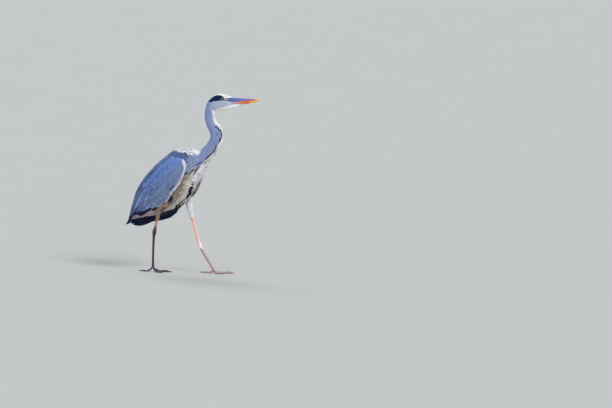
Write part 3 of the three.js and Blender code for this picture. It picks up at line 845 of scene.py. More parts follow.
# Black streaks, from one end to the other: place along the part and degrees from its front.
NECK_STREAKS = [((0.60, 36), (0.545, 31)), ((0.56, 30), (0.51, 33)), ((0.52, 33), (0.475, 38)),
                ((0.42, 47), (0.36, 39)), ((0.37, 38), (0.32, 37)), ((0.33, 37), (0.275, 44)),
                ((0.28, 45), (0.235, 51)), ((0.24, 51), (0.20, 54)), ((0.225, 26), (0.19, 33)),
                ((0.20, 33), (0.155, 40)), ((0.31, 15), (0.28, 12)), ((0.26, 18), (0.235, 21))]
NECK_SPOTS = [((0.65, 60), (0.635, 60)), ((0.642, 52), (0.625, 50)), ((0.63, 44), (0.612, 42)),
              ((0.62, 57), (0.605, 55)), ((0.61, 47), (0.595, 45)), ((0.655, 48), (0.64, 47)),
              ((0.575, 66), (0.563, 68)), ((0.55, 71), (0.538, 72)), ((0.59, 28), (0.57, 25)),
              ((0.53, 24), (0.515, 26)), ((0.50, 46), (0.485, 49))]
BREAST_STREAKS = [((386, 50), (362, 54)), ((368, 42), (348, 41)), ((352, 41), (332, 40.5)),
                  ((342, 50), (316, 55)), ((318, 61), (296, 64))]


def neck_colours(t, angle):
    """Lilac grey, white down the front, and a painted white highlight where the nape meets the shoulders."""
    off = from_front(angle)
    colour = mix(SHOULDER_GREY, NECK_LOW, smooth(t, 0.02, 0.14))
    colour = mix(colour, NECK_GREY, smooth(t, 0.35, 0.75))
    white = neck_white(t)
    colour = mix(colour, WHITE, 1 - smooth(off, white - 4, white + 6))
    # Painted highlight: white on the back of the neck's foot, running on into the shoulders' highlight.
    return mix(colour, WHITE, smooth(off, nape_highlight(t) - 6, nape_highlight(t) + 4))


# Middle and half width of the black line beside the belly's middle, in degrees from the front.
belly_line = profile([(160, 22), (174, 21), (204, 17), (238, 13.5), (252, 15), (268, 22), (284, 23.5),
                      (302, 26)])
belly_line_half = profile([(160, 8), (175, 4.5), (205, 3.4), (238, 4), (252, 7.5), (272, 6.5), (290, 4.5),
                           (302, 2.5)])
BELLY_LINE_ENDS = (164, 304)
# How far up from its underside the rear of the body is black, in degrees.
vent_black = profile([(-40, 44), (-30, 40), (-8, 34), (6, 27), (24, 18), (42, 15), (62, 21), (84, 30),
                      (104, 35), (118, 32), (138, 24), (156, 21), (170, 17), (180, 9), (196, 7), (206, -1)])


def trunk_colours(s, angle):
    """Slate back, a painted white highlight over the shoulders, white breast, buff painted shade on the
    flanks and pinkish grey under the rear, and the black of belly line and vent.
    """
    off = from_front(angle)
    back = 180 - off
    # Painted shade: the sides away from the belly's middle turn to the flanks' buff.
    colour = mix(BELLY, FLANK_IN_SHADE, smooth(off, 26, 44))
    pale = np.sin(s * 0.09 + off * 0.21) * np.sin(s * 0.041 - off * 0.13)
    colour = mix(colour, FLANK_PALE,
                 0.8 * smooth(pale, 0.1, 0.8) * smooth(s, 150, 220) * (1 - smooth(off, 50, 58)))
    colour = mix(colour, CREAM, smooth(s, 236, 272) * (1 - smooth(off, 45, 54)))
    colour = mix(colour, BREAST_GREY, smooth(s + 1.6 * (off - 62), 278, 304) * smooth(off, 46, 54))
    colour = mix(colour, WHITE, smooth(s, 262, 300) * (1 - smooth(off, 28, 40)))
    colour = mix(colour, SHOULDER_GREY, smooth(s + 0.5 * (110 - off), 322, 346) * smooth(off, 52, 66))
    slate = smooth(off, slate_low(s) - 8, slate_low(s) + 8) * (1 - smooth(s + 110 - off, 352, 380))
    colour = mix(colour, SLATE, slate)
    # Painted highlight: white over the tops of the shoulders.
    colour = mix(colour, WHITE, 1 - smooth(back, shoulder_highlight(s) - 5, shoulder_highlight(s) + 3))
    smudge = (np.abs(s - 362) < 13) & (np.abs(back - 28) < 4) & (np.cos(angle) < 0)
    colour = np.where(smudge[:, None], BREAST_GREY, colour)
    # Painted shade: pinkish grey over the underside of the rear.
    colour = mix(colour, VENT_IN_SHADE, (1 - smooth(s, 60, 120)) * (1 - smooth(off, 70, 90)))
    stripe = np.abs(off - belly_line(s)) < belly_line_half(s)
    stripe &= (s > BELLY_LINE_ENDS[0]) & (s < BELLY_LINE_ENDS[1])
    under_wing = (np.abs(s - 176) < 20) & (np.abs(off - 52 - (s - 164) * 0.2) < 6)
    behind_leg = (np.abs(s - 86) < 17) & (np.abs(off - 60) < 5)
    dark = stripe | under_wing | behind_leg | (off < vent_black(s))
    return np.where(dark[:, None], BLACK, colour)


# Between which turns about the near thigh its tan stripe of painted light runs, with painted shade before
# and behind it, in degrees.
tan_front = profile([(0.3, -10), (0.38, 100), (0.44, 142), (0.68, 146), (0.78, 120), (0.86, -10)])
tan_rear = profile([(0.1, 380), (0.26, 232), (0.4, 204), (0.6, 188), (0.72, 190), (0.8, 212),
                    (0.88, 380)])


def thigh_colours(name, t, angle):
    """Painted light and shade on the near side: a tan stripe between a shaded front and rear, with a black
    patch on its upper front. White on the far side.
    """
    near = name == "right"
    upper, lower = (THIGH_NEAR_LIT, TIBIA_NEAR) if near else (THIGH_FAR, TIBIA_FAR)
    change = (0.6, 0.9) if near else (0.9, 0.99)
    colour = mix(np.broadcast_to(upper, (len(t), 3)), lower, smooth(t, *change))
    if not near:
        return colour
    turn = np.degrees(angle)
    colour = mix(colour, FLANK_IN_SHADE, (1 - smooth(t, 0.12, 0.3)) * (1 - smooth(turn, 150, 175)))
    colour = mix(colour, THIGH_REAR_SHADE, 1 - smooth(tan_rear(t) - turn, -4, 6))
    colour = mix(colour, THIGH_SHADE, smooth(tan_front(t) - turn, -4, 6))
    patch = (np.abs(t - 0.21) < 0.08) & (np.abs(turn - 140 + 180 * (t - 0.2)) < 26)
    return np.where(patch[:, None], BLACK, colour)


# ---------------------------------------------------------------- materials

def new_material(name, roughness, specular):
    """A material, its node tree and its shader."""
    material = bpy.data.materials.new(name)
    material.use_nodes = True
    tree = material.node_tree
    shader = tree.nodes["Principled BSDF"]
    shader.inputs["Roughness"].default_value = roughness
    shader.inputs["Specular IOR Level"].default_value = specular
    return material, tree, shader


def node(tree, kind, **settings):
    """A new node. Settings that begin with in_ are its inputs: values, or the outputs of other nodes."""
    made = tree.nodes.new(kind)
    for key, value in settings.items():
        if not key.startswith("in_"):
            setattr(made, key, value)
            continue
        name = key[3:].replace("_", " ")
        socket = made.inputs[int(name) if name.isdigit() else name]
        if isinstance(value, bpy.types.NodeSocket):
            tree.links.new(value, socket)
        else:
            socket.default_value = value
    return made


def calculate(tree, operation, *values):
    """The output of a calculation with values or the outputs of other nodes."""
    inputs = {f"in_{index}": value for index, value in enumerate(values)}
    return node(tree, "ShaderNodeMath", operation=operation, **inputs).outputs[0]


def pattern(tree, kind, **settings):
    """A texture that is fixed to the object."""
    place = node(tree, "ShaderNodeTexCoord")
    return node(tree, kind, in_Vector=place.outputs["Object"], **settings)


def vane_parts(tree):
    """A mesh's vane attribute: its output, and a node that takes its numbers apart."""
    stored = node(tree, "ShaderNodeAttribute", attribute_name="vane").outputs["Vector"]
    return stored, node(tree, "ShaderNodeSeparateXYZ", in_0=stored)


def use_tint(tree, shader, amount, scale):
    """Colours a surface by its mesh's own colours, made lighter and darker by a noise."""
    tint = node(tree, "ShaderNodeAttribute", attribute_name="tint")
    noise = pattern(tree, "ShaderNodeTexNoise", in_Scale=scale, in_Detail=4.0)
    level = node(tree, "ShaderNodeMapRange", in_To_Min=1 - amount, in_To_Max=1 + amount,
                 in_Value=noise.outputs["Fac"])
    scaled = node(tree, "ShaderNodeVectorMath", operation="SCALE", in_0=tint.outputs["Color"],
                  in_Scale=level.outputs["Result"])
    tree.links.new(scaled.outputs[0], shader.inputs["Base Color"])


def add_bump(tree, shader, height, strength, distance):
    """Fine relief from a pattern's height; distance is in metres."""
    bump = node(tree, "ShaderNodeBump", in_Strength=strength, in_Distance=distance, in_Height=height)
    tree.links.new(bump.outputs["Normal"], shader.inputs["Normal"])


def feather_material(name, roughness=0.78, barbs=1.1, strength=0.35, variation=0.12):
    """Plumage: the vane's colour with fine barbs slanting from its shaft."""
    material, tree, shader = new_material(name, roughness, 0.2)
    use_tint(tree, shader, variation, 55.0)
    _, parts = vane_parts(tree)
    slant = calculate(tree, "MULTIPLY", calculate(tree, "ABSOLUTE", parts.outputs["Y"]), -1.3)
    along = calculate(tree, "ADD", parts.outputs["X"], slant)
    wave = calculate(tree, "SINE", calculate(tree, "MULTIPLY", along, TURN * barbs))
    add_bump(tree, shader, wave, strength, 0.0002)
    return material


def skin_material():
    """Bare skin of legs, feet and lores: their own colours with fine reticulate scales."""
    material, tree, shader = new_material("heron_skin", 0.5, 0.35)
    use_tint(tree, shader, 0.14, 120.0)
    cells = pattern(tree, "ShaderNodeTexVoronoi", in_Scale=420.0)
    add_bump(tree, shader, cells.outputs["Distance"], 0.35, 0.0006)
    return material


def horn_material():
    """Bill and claw horn: its own colours, slightly glossy, with a fine grain."""
    material, tree, shader = new_material("heron_horn", 0.38, 0.45)
    use_tint(tree, shader, 0.1, 90.0)
    grain = pattern(tree, "ShaderNodeTexNoise", in_Scale=260.0, in_Detail=3.0)
    add_bump(tree, shader, grain.outputs["Fac"], 0.12, 0.0004)
    return material


def set_stops(ramp, stops):
    """Gives a colour ramp its stops, as places from 0 to 1 and linear colours."""
    elements = ramp.color_ramp.elements
    while len(elements) < len(stops):
        elements.new(0.5)
    for element, (place, colour) in zip(elements, stops):
        element.position = place
        element.color = (*colour, 1)


def eye_material():
    """A wet eye: black pupil, dark olive iris with fine rays and a dark rim. The olive is a yellow iris
    darkened as painted shade.
    """
    material, tree, shader = new_material("heron_eye", 0.05, 0.5)
    away, parts = vane_parts(tree)
    rays = node(tree, "ShaderNodeTexNoise", in_Scale=40.0, in_Detail=2.0, in_Vector=away)
    frayed = calculate(tree, "MULTIPLY_ADD", rays.outputs["Fac"], 0.05, parts.outputs["X"])
    ramp = node(tree, "ShaderNodeValToRGB", in_Fac=frayed)
    set_stops(ramp, [(place, linear(colour)) for place, colour in EYE_RINGS])
    tree.links.new(ramp.outputs["Color"], shader.inputs["Base Color"])
    return material


# Colours of the eye from the pupil's middle outwards, by the angle from the eye's axis over EYE_SPREAD.
# Painted shade: the iris rings are a dull dark olive, a yellow iris darkened.
EYE_RINGS = [(0.0, (4, 4, 6)), (0.50, (6, 6, 8)), (0.54, (84, 74, 30)), (0.66, (118, 110, 56)),
             (0.76, (86, 80, 42)), (0.84, (36, 34, 28)), (1.0, (18, 18, 20))]
EYE_SPREAD = 1.15

PLUMAGE = feather_material("heron_plumage")
DOWN = feather_material("heron_short_plumage", 0.85, 1.6, 0.2, 0.08)
WING = feather_material("heron_wing", 0.7, 0.9, 0.4, 0.1)
SKIN = skin_material()
HORN = horn_material()
EYE = eye_material()


# ---------------------------------------------------------------- skin

def skin_lift_trunk(s):
    return -TRUNK_COAT * (0.25 + 0.75 * smooth(s, -50, 60))


def skin_lift_head(x):
    """The coat is thin on the face and gone at the bill."""
    return -HEAD_COAT * (1 - 0.75 * smooth(x, 60, 90))


def skin_lift_thigh(t):
    return -THIGH_COAT * (1 - smooth(t, 0.6, 0.97))


def leg_colours(points):
    """Bare legs: the near one painted darker, in shade, dark purple brown below tan, and the far one coral
    over pale brown, with a painted highlight round its hock.
    """
    left = (points[:, 1] > 24) | (points[:, 0] > 20)
    z = points[:, 2]
    near = mix(SHANK_NEAR_SHADE, TIBIA_NEAR, smooth(z, 194, 208))
    far = mix(SHANK_FAR, HOCK_FAR_HIGHLIGHT, smooth(z, 96, 112))
    far = mix(far, TIBIA_FAR, smooth(z, 122, 142))
    patches = (np.sin(points @ np.array([0.31, 0.23, 0.17]))
               * np.sin(points @ np.array([-0.12, 0.4, 0.29])))
    colour = np.where(left[:, None], far, near)
    return colour * (1 + 0.10 * patches)[:, None]


LEG_REACH = 13                   # skin closer than this to a leg's middle line is the leg's own
LEGS_TOP = 290                   # height above which no skin is bare leg
FEET_TOP = 60                    # height below which all skin is leg or foot


def on_legs(points):
    """Whether points of the skin are on a bare leg or foot."""
    close = np.zeros(len(points), bool)
    low = np.nonzero(points[:, 2] < LEGS_TOP)[0]
    for leg in limbs.values():
        bare = leg["thigh"].line[len(leg["thigh"].line) * 3 // 4:]
        lines = np.vstack([bare, leg["shank"].line, leg["tarsus"].line])[::5]
        away = np.linalg.norm(points[low, None] - lines[None], axis=2).min(1)
        close[low[away < LEG_REACH]] = True
    return close | (points[:, 2] < FEET_TOP)


def skin_colours(points):
    """The skin carries its coat's colours, darkened as painted shade, and its own on face and legs."""
    away, colour = nearest_planted(points)
    along = (points - BODY_ORIGIN) @ AXIS
    under_wing = (points[:, 1] > 4) & (along < 120) & (points[:, 2] < 400)
    # Painted shade: the coat's colours darkened, and primaries' black where no root is near, in the hollows
    # under wings and thighs. The same black covers the skin under the rear of the far wing.
    colour = mix(colour * 0.85, PRIMARY_BLACK, np.maximum(smooth(away, 12, 22), under_wing))
    _, _, z = head_place(points)
    bare = bare_face(points) & (z > -8)
    colour = np.where(bare[:, None], lore_colours(points), colour)
    return np.where(on_legs(points)[:, None], leg_colours(points), colour)


def bare_face(points, margin=0.0):
    """The bare lore between eye and bill, and the skin round the eye."""
    x, y, z = head_place(points)
    lore = (x > 56) & (z < lore_top(x) + margin) & (z > lore_bottom(x) - margin) & (np.abs(y) > 4)
    ring = np.hypot(x - EYE_AT[0], z - EYE_AT[1]) < 6.4 + margin
    return (lore & (x < 100)) | (ring & (np.abs(y) > 8))


def lore_colours(points):
    """Dark blue, with a greenish yellow patch before the eye and the bill's own blue at its base."""
    x, _, z = head_place(points)
    patch = np.hypot((x - 75) / 14, (z - 47.2) / 2.8)
    colour = mix(LORE_LINE, LORE, 1 - smooth(patch, 0.6, 1.1))
    return mix(colour, BILL_BLUE, smooth(x, 88, 96) * (1 - 0.6 * smooth(z, 50, 53)))


THINNED_TO = 0.27                # share of the skin's triangles that is left


def make_skin():
    """One skin over all the flesh, thin where the coat is deep, with the bare legs and face."""
    parts = body_parts(skin_lift_trunk, -NECK_COAT, skin_lift_head, skin_lift_thigh) + lower_leg_parts()
    parts += [wing_core(name) for name in SIDES]
    mesh = fuse(parts, 1.3, 4)
    points = mesh_points(mesh)
    points[:, 2] = np.maximum(points[:, 2], 0)
    set_points(mesh, points)
    mesh.update()
    piece = add_object("skin", mesh)
    # Fine triangles stay on face, legs and feet. What the feathers hide is thinned out.
    x, _, z = head_place(points)
    hidden = (points[:, 2] > 240) & ~((x > 30) & (z > -10))
    group = piece.vertex_groups.new(name="hidden")
    group.add(np.nonzero(hidden)[0].tolist(), 1.0, "REPLACE")
    thin = piece.modifiers.new("thin", "DECIMATE")
    thin.vertex_group = "hidden"
    thin.ratio = THINNED_TO
    graph = bpy.context.evaluated_depsgraph_get()
    mesh = bpy.data.meshes.new_from_object(piece.evaluated_get(graph))
    bpy.data.objects.remove(piece)
    mesh.name = "skin"
    set_colour(mesh, skin_colours(mesh_points(mesh)))
    mesh.polygons.foreach_set("use_smooth", np.ones(len(mesh.polygons), bool))
    mesh.materials.clear()
    flesh = ["trunk", "neck_lower", "neck_middle", "neck_upper", "head", "wing_right", "wing_left"]
    for name in SIDES:
        flesh += [f"{part}_{name}" for part in ("thigh", "shin", "tarsus")]
        flesh += [f"toe_{name}_{toe_name}" for toe_name, *_ in TOES]
    add_piece("skin", mesh, SKIN, flesh)


# ---------------------------------------------------------------- plumage of the body

def body_guides():
    """Lines that the feathers follow: back over the head, down the neck and along the trunk."""
    over = in_head(np.linspace(125, 0, 40), 0.0, np.linspace(34, 20, 40))
    over_way = unit(np.gradient(over, axis=0))
    down = neck.line[::-1][8:]
    down_way = -neck.way[::-1][8:]
    rump = in_body(np.linspace(370, -60, 80), 0.0, 0.0)
    rump_way = np.broadcast_to(-AXIS, rump.shape)
    return [(over, over_way), (down, down_way), (rump, rump_way)]


SEEN = 0.65                      # how far along a vane the part that is seen lies


def make_head_coat(cover, guides):
    """Short tufts over the head and chin, longest on the nape."""
    coat = Coat("coat_head")
    spacing = 1.6
    x, angle = scatter(head, -17, 132, spacing, spacing, 1.0)
    roots = head(x, angle)
    hz = head_place(roots)[2]
    on_chin = (x < BILL_BASE - 1) | (hz < bill_bottom(x) - 0.5)
    foot, _, away = cover.nearest(roots)
    keep = on_chin & (away < 1.5) & ~bare_face(foot, 0.2)
    x, angle, foot = x[keep], angle[keep], foot[keep]
    hx, _, hz = head_place(foot)
    ways = follow(foot, guides)
    rear = 1 - smooth(hx, -10, 62)
    crown = (hz > black_low(hx)).astype(float)
    length = (5.2 + 5.0 * rear + 2.5 * rear * crown) * around(1, 0.15, len(x))
    width = around(2.1 + 0.9 * rear, 0.25, len(x))
    depth = -skin_lift_head(hx) - 0.2
    tip = around(0.15, 0.14, len(x))
    points = drape(cover, TUFT, foot, turned(ways, foot, 0.14), length, width, depth, tip, 0.2)
    PLANTED.append((foot, head_colours(foot)))
    tint = shade(head_colours(foot + ways * (SEEN * length)[:, None]), TUFT, edge=0.04, root=-0.08,
                 tip=0.03, spread=0.035)
    coat.add(TUFT, points, tint, np.stack([(x + 25) / 170, angle / TURN], -1), length, width)
    coat.make(DOWN)


NECK_SPLIT = 0.46                # the neck's plumage is two pieces, parted at this share of its length


def add_streaks(coat, cover, surface, streaks, place, step, length, width):
    """Narrow black vanes laid over the coat along each streak, on both sides of the bird."""
    for side in (1, -1):
        a, angle, ahead = [], [], []
        for (a0, off0), (a1, off1) in streaks:
            run = np.linspace(0, 1, max(2, int(round(abs(a1 - a0) / step)) + 1))[:-1]
            a.append(a0 + (a1 - a0) * run)
            angle.append(FRONT - side * np.radians(off0 + (off1 - off0) * run))
            onward = surface(a[-1] + (a1 - a0) * 0.1, angle[-1] - side * np.radians(off1 - off0) * 0.1)
            ahead.append(onward - surface(a[-1], angle[-1]))
        a, angle, ways = np.concatenate(a), np.concatenate(angle), unit(np.concatenate(ahead))
        count = len(a)
        roots = around(surface(a, angle), 1.3, (count, 3))
        long = length * around(1, 0.25, count)
        wide = width * around(1, 0.2, count)
        points = drape(cover, LANCE, roots, turned(ways, roots, 0.09), long, wide,
                       np.full(count, -0.4), around(0.6, 0.25, count), 0.12)
        tint = shade(np.broadcast_to(BLACK, roots.shape), LANCE, spread=0.1)
        coat.add(LANCE, points, tint, place(a, angle % TURN), long, wide)


def add_loose(coat, cover, guides):
    """Long, loose white feathers that stand a little away from the front of the lower neck."""
    count = 420
    t = 0.10 + 0.40 * rng.random(count)
    off = 26 * rng.uniform(-1, 1, count)
    angle = FRONT + np.radians(off)
    roots = neck(t, angle)
    ways = follow(roots, guides)
    length = 26 + 8 * rng.random(count)
    width = 3.4 + 0.8 * rng.random(count)
    middle = smooth(t, 0.10, 0.2) * (1 - smooth(t, 0.42, 0.5))
    tip = (1 + 5 * rng.random(count)) * (0.3 + 0.7 * middle)
    points = drape(cover, LANCE, roots, turned(ways, roots, 0.12), length, width,
                   np.full(count, 1.0), tip, 0.3)
    greyed = np.where(rng.random(count) < 0.25, 0.8, 0.0)
    tint = shade(mix(np.broadcast_to(WHITE, roots.shape), BREAST_GREY, greyed), LANCE, edge=0.05, root=-0.1,
                 spread=0.03)
    coat.add(LANCE, points, tint, neck_place(t, angle), length, width)


def neck_place(t, angle):
    return np.stack([0.02 + 0.96 * t, angle / TURN], -1)


def trunk_place(s, angle):
    return np.stack([(s + 40) / 460, angle / TURN], -1)


def limb_roots(cover, surface, low, high, spacing):
    """Roots over the part of a limb that shows: its parameter, its angle and the coat's nearest points."""
    t, angle = scatter(surface, low, high, spacing, spacing, 1 / surface.length)
    foot, _, away = cover.nearest(surface(t, angle))
    shows = away < 2.5
    return t[shows], angle[shows], foot[shows]


def make_neck_coat(cover, guides):
    """Tufts over the neck in two pieces, with its black streaks and the loose feathers at its foot."""
    t, angle, foot = limb_roots(cover, neck, 0.02, 0.995, 2.35)
    for name, low, high in (("coat_neck_low", -1, NECK_SPLIT), ("coat_neck_high", NECK_SPLIT, 2)):
        coat = Coat(name)
        part = (t >= low) & (t < high)
        pt, pa, pf = t[part], angle[part], foot[part]
        ways = follow(pf, guides)
        full = 1 - smooth(pt, 0.1, 0.7)
        length = (12 + 9 * full) * around(1, 0.15, len(pt))
        width = around(2.9 + 1.6 * full, 0.3, len(pt))
        tip = around(0.2, 0.25, len(pt))
        points = drape(cover, TUFT, pf, turned(ways, pf, 0.12), length, width,
                       np.full(len(pt), NECK_COAT - 0.3), tip, 0.25)
        PLANTED.append((pf, neck_colours(pt, pa)))
        seen = neck_colours(pt - SEEN * length / neck.length, pa)
        tint = shade(seen, TUFT, edge=0.06, root=-0.12, tip=0.05, spread=0.04)
        coat.add(TUFT, points, tint, neck_place(pt, pa), length, width)
        if low < 0:
            add_loose(coat, cover, guides)
        for streaks, long, wide in ((NECK_STREAKS, 11, 2.4), (NECK_SPOTS, 7, 2.4)):
            here = [streak for streak in streaks if low <= streak[0][0] < high]
            if here:
                add_streaks(coat, cover, neck, here, neck_place, 0.0055, long, wide)
        coat.make(DOWN)


THIGH_CLOSE = 1.5                # a leg covers what is within this many of its radii from its line
THIGH_RIM = 0.97                 # and, across it, within this share of its section, squared


def in_thigh(points):
    """Whether points of the trunk's surface are covered by the top of a leg."""
    covered = np.zeros(len(points), bool)
    for leg in limbs.values():
        thigh = leg["thigh"]
        line = thigh.line[::4]
        away = np.linalg.norm(points[:, None] - line[None], axis=2)
        nearest = away.argmin(1)
        share = nearest / (away.shape[1] - 1)
        rim = thigh(share, np.full_like(share, math.pi)) - line[nearest]
        front = thigh(share, np.full_like(share, math.pi / 2)) - line[nearest]
        offset = points - line[nearest]
        wide, deep = np.linalg.norm(rim, axis=1), np.linalg.norm(front, axis=1)
        across = (offset * rim).sum(1) / wide**2
        ahead = (offset * front).sum(1) / deep**2
        close = away.min(1) < THIGH_CLOSE * np.maximum(wide, deep)
        covered |= close & (across**2 + ahead**2 < THIGH_RIM)
    return covered


TRUNK_SPLIT = 240                # where the trunk's coat is parted into two pieces
CONTOUR_MARKS = {"edge": 0.08, "shaft": -0.08, "root": -0.15, "tip": 0.06}


def make_trunk_coat(cover, guides):
    """Contour feathers over the trunk wherever no wing or leg covers it, in two pieces."""
    spacing = 4.0
    s, angle = scatter(trunk, -28, 398, spacing, spacing * 1.1, 1.0)
    roots = trunk(s, angle)
    off = from_front(angle)
    foot, _, away = cover.nearest(roots)
    # Under the folded wings the trunk needs no feathers of its own.
    h = (roots - in_body(0.0, 0.0, 0.0)) @ BACKWARD
    covered_to = np.where(np.cos(angle) > 0, 90, 112)
    under = (h > np.maximum(wing_low["right"](s), -40) + 22) & (off < covered_to) & (s < 318)
    back_covered = (off >= 112) & (s < 190)
    keep = (away < 3) & ~under & ~back_covered & ~in_thigh(roots)
    s, angle, foot, off = s[keep], angle[keep], foot[keep], off[keep]
    ways = follow(foot, guides, 1.5)
    back = smooth(off, 95, 115)
    fore = smooth(s, 300, 360)
    length = (24 + 10 * back - 5 * fore) * around(1, 0.15, len(s))
    width = (7.2 + 5.4 * back * (1 - fore) - fore) * around(1, 0.12, len(s))
    depth = np.full(len(s), TRUNK_COAT * 0.75)
    tip = around(0.3, 0.4, len(s))
    points = drape(cover, CONTOUR, foot, turned(ways, foot, 0.14), length, width, depth, tip, 0.35, 0.3)
    PLANTED.append((foot, trunk_colours(s, angle)))
    tint = shade(trunk_colours(s - SEEN * length, angle), CONTOUR, **CONTOUR_MARKS)
    place = trunk_place(s, angle)
    for name, part in (("coat_body", s < TRUNK_SPLIT), ("coat_breast", s >= TRUNK_SPLIT)):
        coat = Coat(name)
        coat.add(CONTOUR, points[part], tint[part], place[part], length[part], width[part])
        if name == "coat_breast":
            add_streaks(coat, cover, trunk, BREAST_STREAKS, trunk_place, 2.0, 12, 2.6)
        coat.make(PLUMAGE)


def nearest_planted(points):
    """Distance from each point to the nearest planted root, and the colour seen there."""
    roots = np.vstack([roots for roots, _ in PLANTED])
    colours = np.vstack([colours for _, colours in PLANTED])
    tree = KDTree(len(roots))
    for index, root in enumerate(roots.tolist()):
        tree.insert(root, index)
    tree.balance()
    found = [tree.find(point) for point in points.tolist()]
    return np.array([f[2] for f in found]), colours[np.array([f[1] for f in found])]


FILL_FLOOR = 262                 # height below which no hollow is filled, so the legs stay bare


def make_fill(cover, guides):
    """Vanes for the hollows between the parts, where neither part's own rows reach."""
    coat = Coat("coat_hollows")
    points = cover.points[rng.permutation(len(cover.points))[:len(cover.points) // 2]]
    _, _, hz = head_place(points)
    away, colours = nearest_planted(points)
    keep = (away > 3.4) & (away < 13) & (hz < 10) & (points[:, 2] > FILL_FLOOR)
    roots, colours = points[keep], colours[keep]
    ways = follow(roots, guides, 1.5)
    count = len(roots)
    length = around(20, 3, count)
    width = around(5.5, 0.6, count)
    vanes = drape(cover, CONTOUR, roots, turned(ways, roots, 0.14), length, width,
                  np.full(count, 3.5), around(0.2, 0.3, count), 0.3, 0.3)
    place = np.stack([0.05 + 0.9 * smooth((roots - BODY_ORIGIN) @ AXIS, 0, 460),
                      0.5 + np.arctan2(roots[:, 1], (roots - BODY_ORIGIN) @ BACKWARD) / TURN * 0.99], -1)
    coat.add(CONTOUR, vanes, shade(colours, CONTOUR, **CONTOUR_MARKS), place, length, width)
    coat.make(PLUMAGE)


def make_thigh_coat(cover):
    """Tufts down both thighs, shorter and narrower towards the bare leg."""
    coat = Coat("coat_thighs")
    spacing = 2.9
    for name, leg in limbs.items():
        thigh = leg["thigh"]
        t, angle, foot = limb_roots(cover, thigh, 0.0, 0.985, spacing)
        ways = follow(foot, [(thigh.line, thigh.way)])
        thin = smooth(t, 0.5, 1)
        length = (24 - 14 * thin) * around(1, 0.15, len(t))
        width = (4.4 - 2.2 * thin) * around(1, 0.12, len(t))
        depth = -skin_lift_thigh(t) - 0.1
        tip = around(0.3, 0.3, len(t)) * (1 - 0.7 * thin)
        points = drape(cover, TUFT, foot, turned(ways, foot, 0.14), length, width, depth,
                       tip, 0.3)
        PLANTED.append((foot, thigh_colours(name, t, angle)))
        seen = thigh_colours(name, t + SEEN * length / thigh.length, angle)
        tint = shade(seen, TUFT, edge=0.08, root=-0.12, tip=0.06)
        column = 0.02 if name == "right" else 0.52
        coat.add(TUFT, points, tint, np.stack([column + 0.46 * t, angle / TURN], -1), length, width)
    coat.make(DOWN)


# ---------------------------------------------------------------- wings and tail

WING_REAR = -68                  # s beyond which a wing's face runs on straight
WING_GIRTH = 190                 # about how many millimetres a wing's face is from q 0 to q 1


def lanes(surface, s, q, form, length, width, slant, low, high, thickness):
    """Vanes laid in a wing's own face, from (s, q) towards the tail, rising from low to high over it."""
    step = 0.01
    girth = np.linalg.norm(surface(s, q + step) - surface(s, q - step), axis=-1) / (2 * step)
    along = form.x[None] * length[:, None]
    across = -surface.side * form.y[None] * width[:, None] / 2
    c, n = np.cos(slant)[:, None], np.sin(slant)[:, None]
    here_s = s[:, None] - along * c - across * n
    here_q = np.clip(q[:, None] + (along * n + across * c) / girth[:, None], -0.02, 1.1)
    rise = form.x[None] ** 0.8
    lift = low[:, None] * (1 - rise) + high[:, None] * rise + form.z[None] * thickness
    spill = np.maximum(here_q - 1, 0) * girth[:, None]
    points = surface(here_s, np.minimum(here_q, 1), lift)
    beyond = np.maximum(WING_REAR - here_s, 0)
    points += -AXIS * beyond[..., None] - BACKWARD * spill[..., None]
    return points, here_s, here_q


# The q of the dark line below a wing's slate back, and of the whitish rim's inner edge, for each s.
dark_back = profile([(-60, 0.62), (0, 0.5), (88, 0.40), (126, 0.31), (194, 0.33), (270, 0.2), (320, 0.1)])
rim_inner = profile([(90, 1.1), (180, 1.05), (200, 0.99), (236, 0.968), (300, 0.95), (316, 0.905),
                     (324, 0.74), (330, 0.43), (335, 0.2), (338, 0.1)])


def wing_tint(s, q):
    """Blue grey, greyer along its lower side, dark along the back and whitish round its leading edge."""
    colour = mix(WING_BLUE, WING_GREY, smooth(q, 0.45, 0.85) * (0.35 + 0.65 * smooth(s, 60, 150)))
    line = dark_back(s)
    above = 0.8 * smooth(q, line - 0.14, line - 0.03)
    colour = mix(colour, WING_DARK, above * (1 - smooth(q, line, line + 0.08)))
    colour = mix(colour, SLATE, 0.6 * (1 - smooth(q, line - 0.2, line - 0.1)))
    # Soft lengthwise bands, stronger towards the quills.
    band = np.sin(q * 57 + s * 0.010) * np.sin(q * 23 + 1.3 + s * 0.006)
    low = 1 - smooth(s, 90, 200)
    colour = mix(colour, WING_PALE, (0.18 + 0.35 * low) * smooth(band, 0.25, 0.9))
    colour = mix(colour, WING_DARK, (0.2 + 0.45 * low) * smooth(-band, 0.3, 0.9))
    fine = np.sin(q * 151 + s * 0.012) * low
    colour = mix(colour, WING_PALE, 0.35 * smooth(fine, 0.35, 0.95))
    colour = mix(colour, WING_DARK, 0.4 * smooth(-fine, 0.35, 0.95))
    return colour


def wing_edging(tint, s, q):
    """The whitish rim of the leading edge, with a short dark line inside it, and a whitish spot of painted
    highlight on the wing's top near the shoulder.
    """
    line = smooth(s, 200, 206) * (1 - smooth(s, 232, 240))
    line = line * smooth(q, 0.915, 0.925) * (1 - smooth(q, 0.95, 0.96))
    tint = mix(tint, WING_DARK * 0.5, 0.8 * line)
    # Painted highlight: a whitish spot on the top of the wing, behind its bend.
    bend = np.exp(-((s - 303) / 8) ** 2 - ((q - 0.13) / 0.05) ** 2)
    tint = mix(tint, WING_RIM, 0.8 * bend)
    return mix(tint, WING_RIM, smooth(q, rim_inner(s) - 0.04, rim_inner(s) + 0.03))


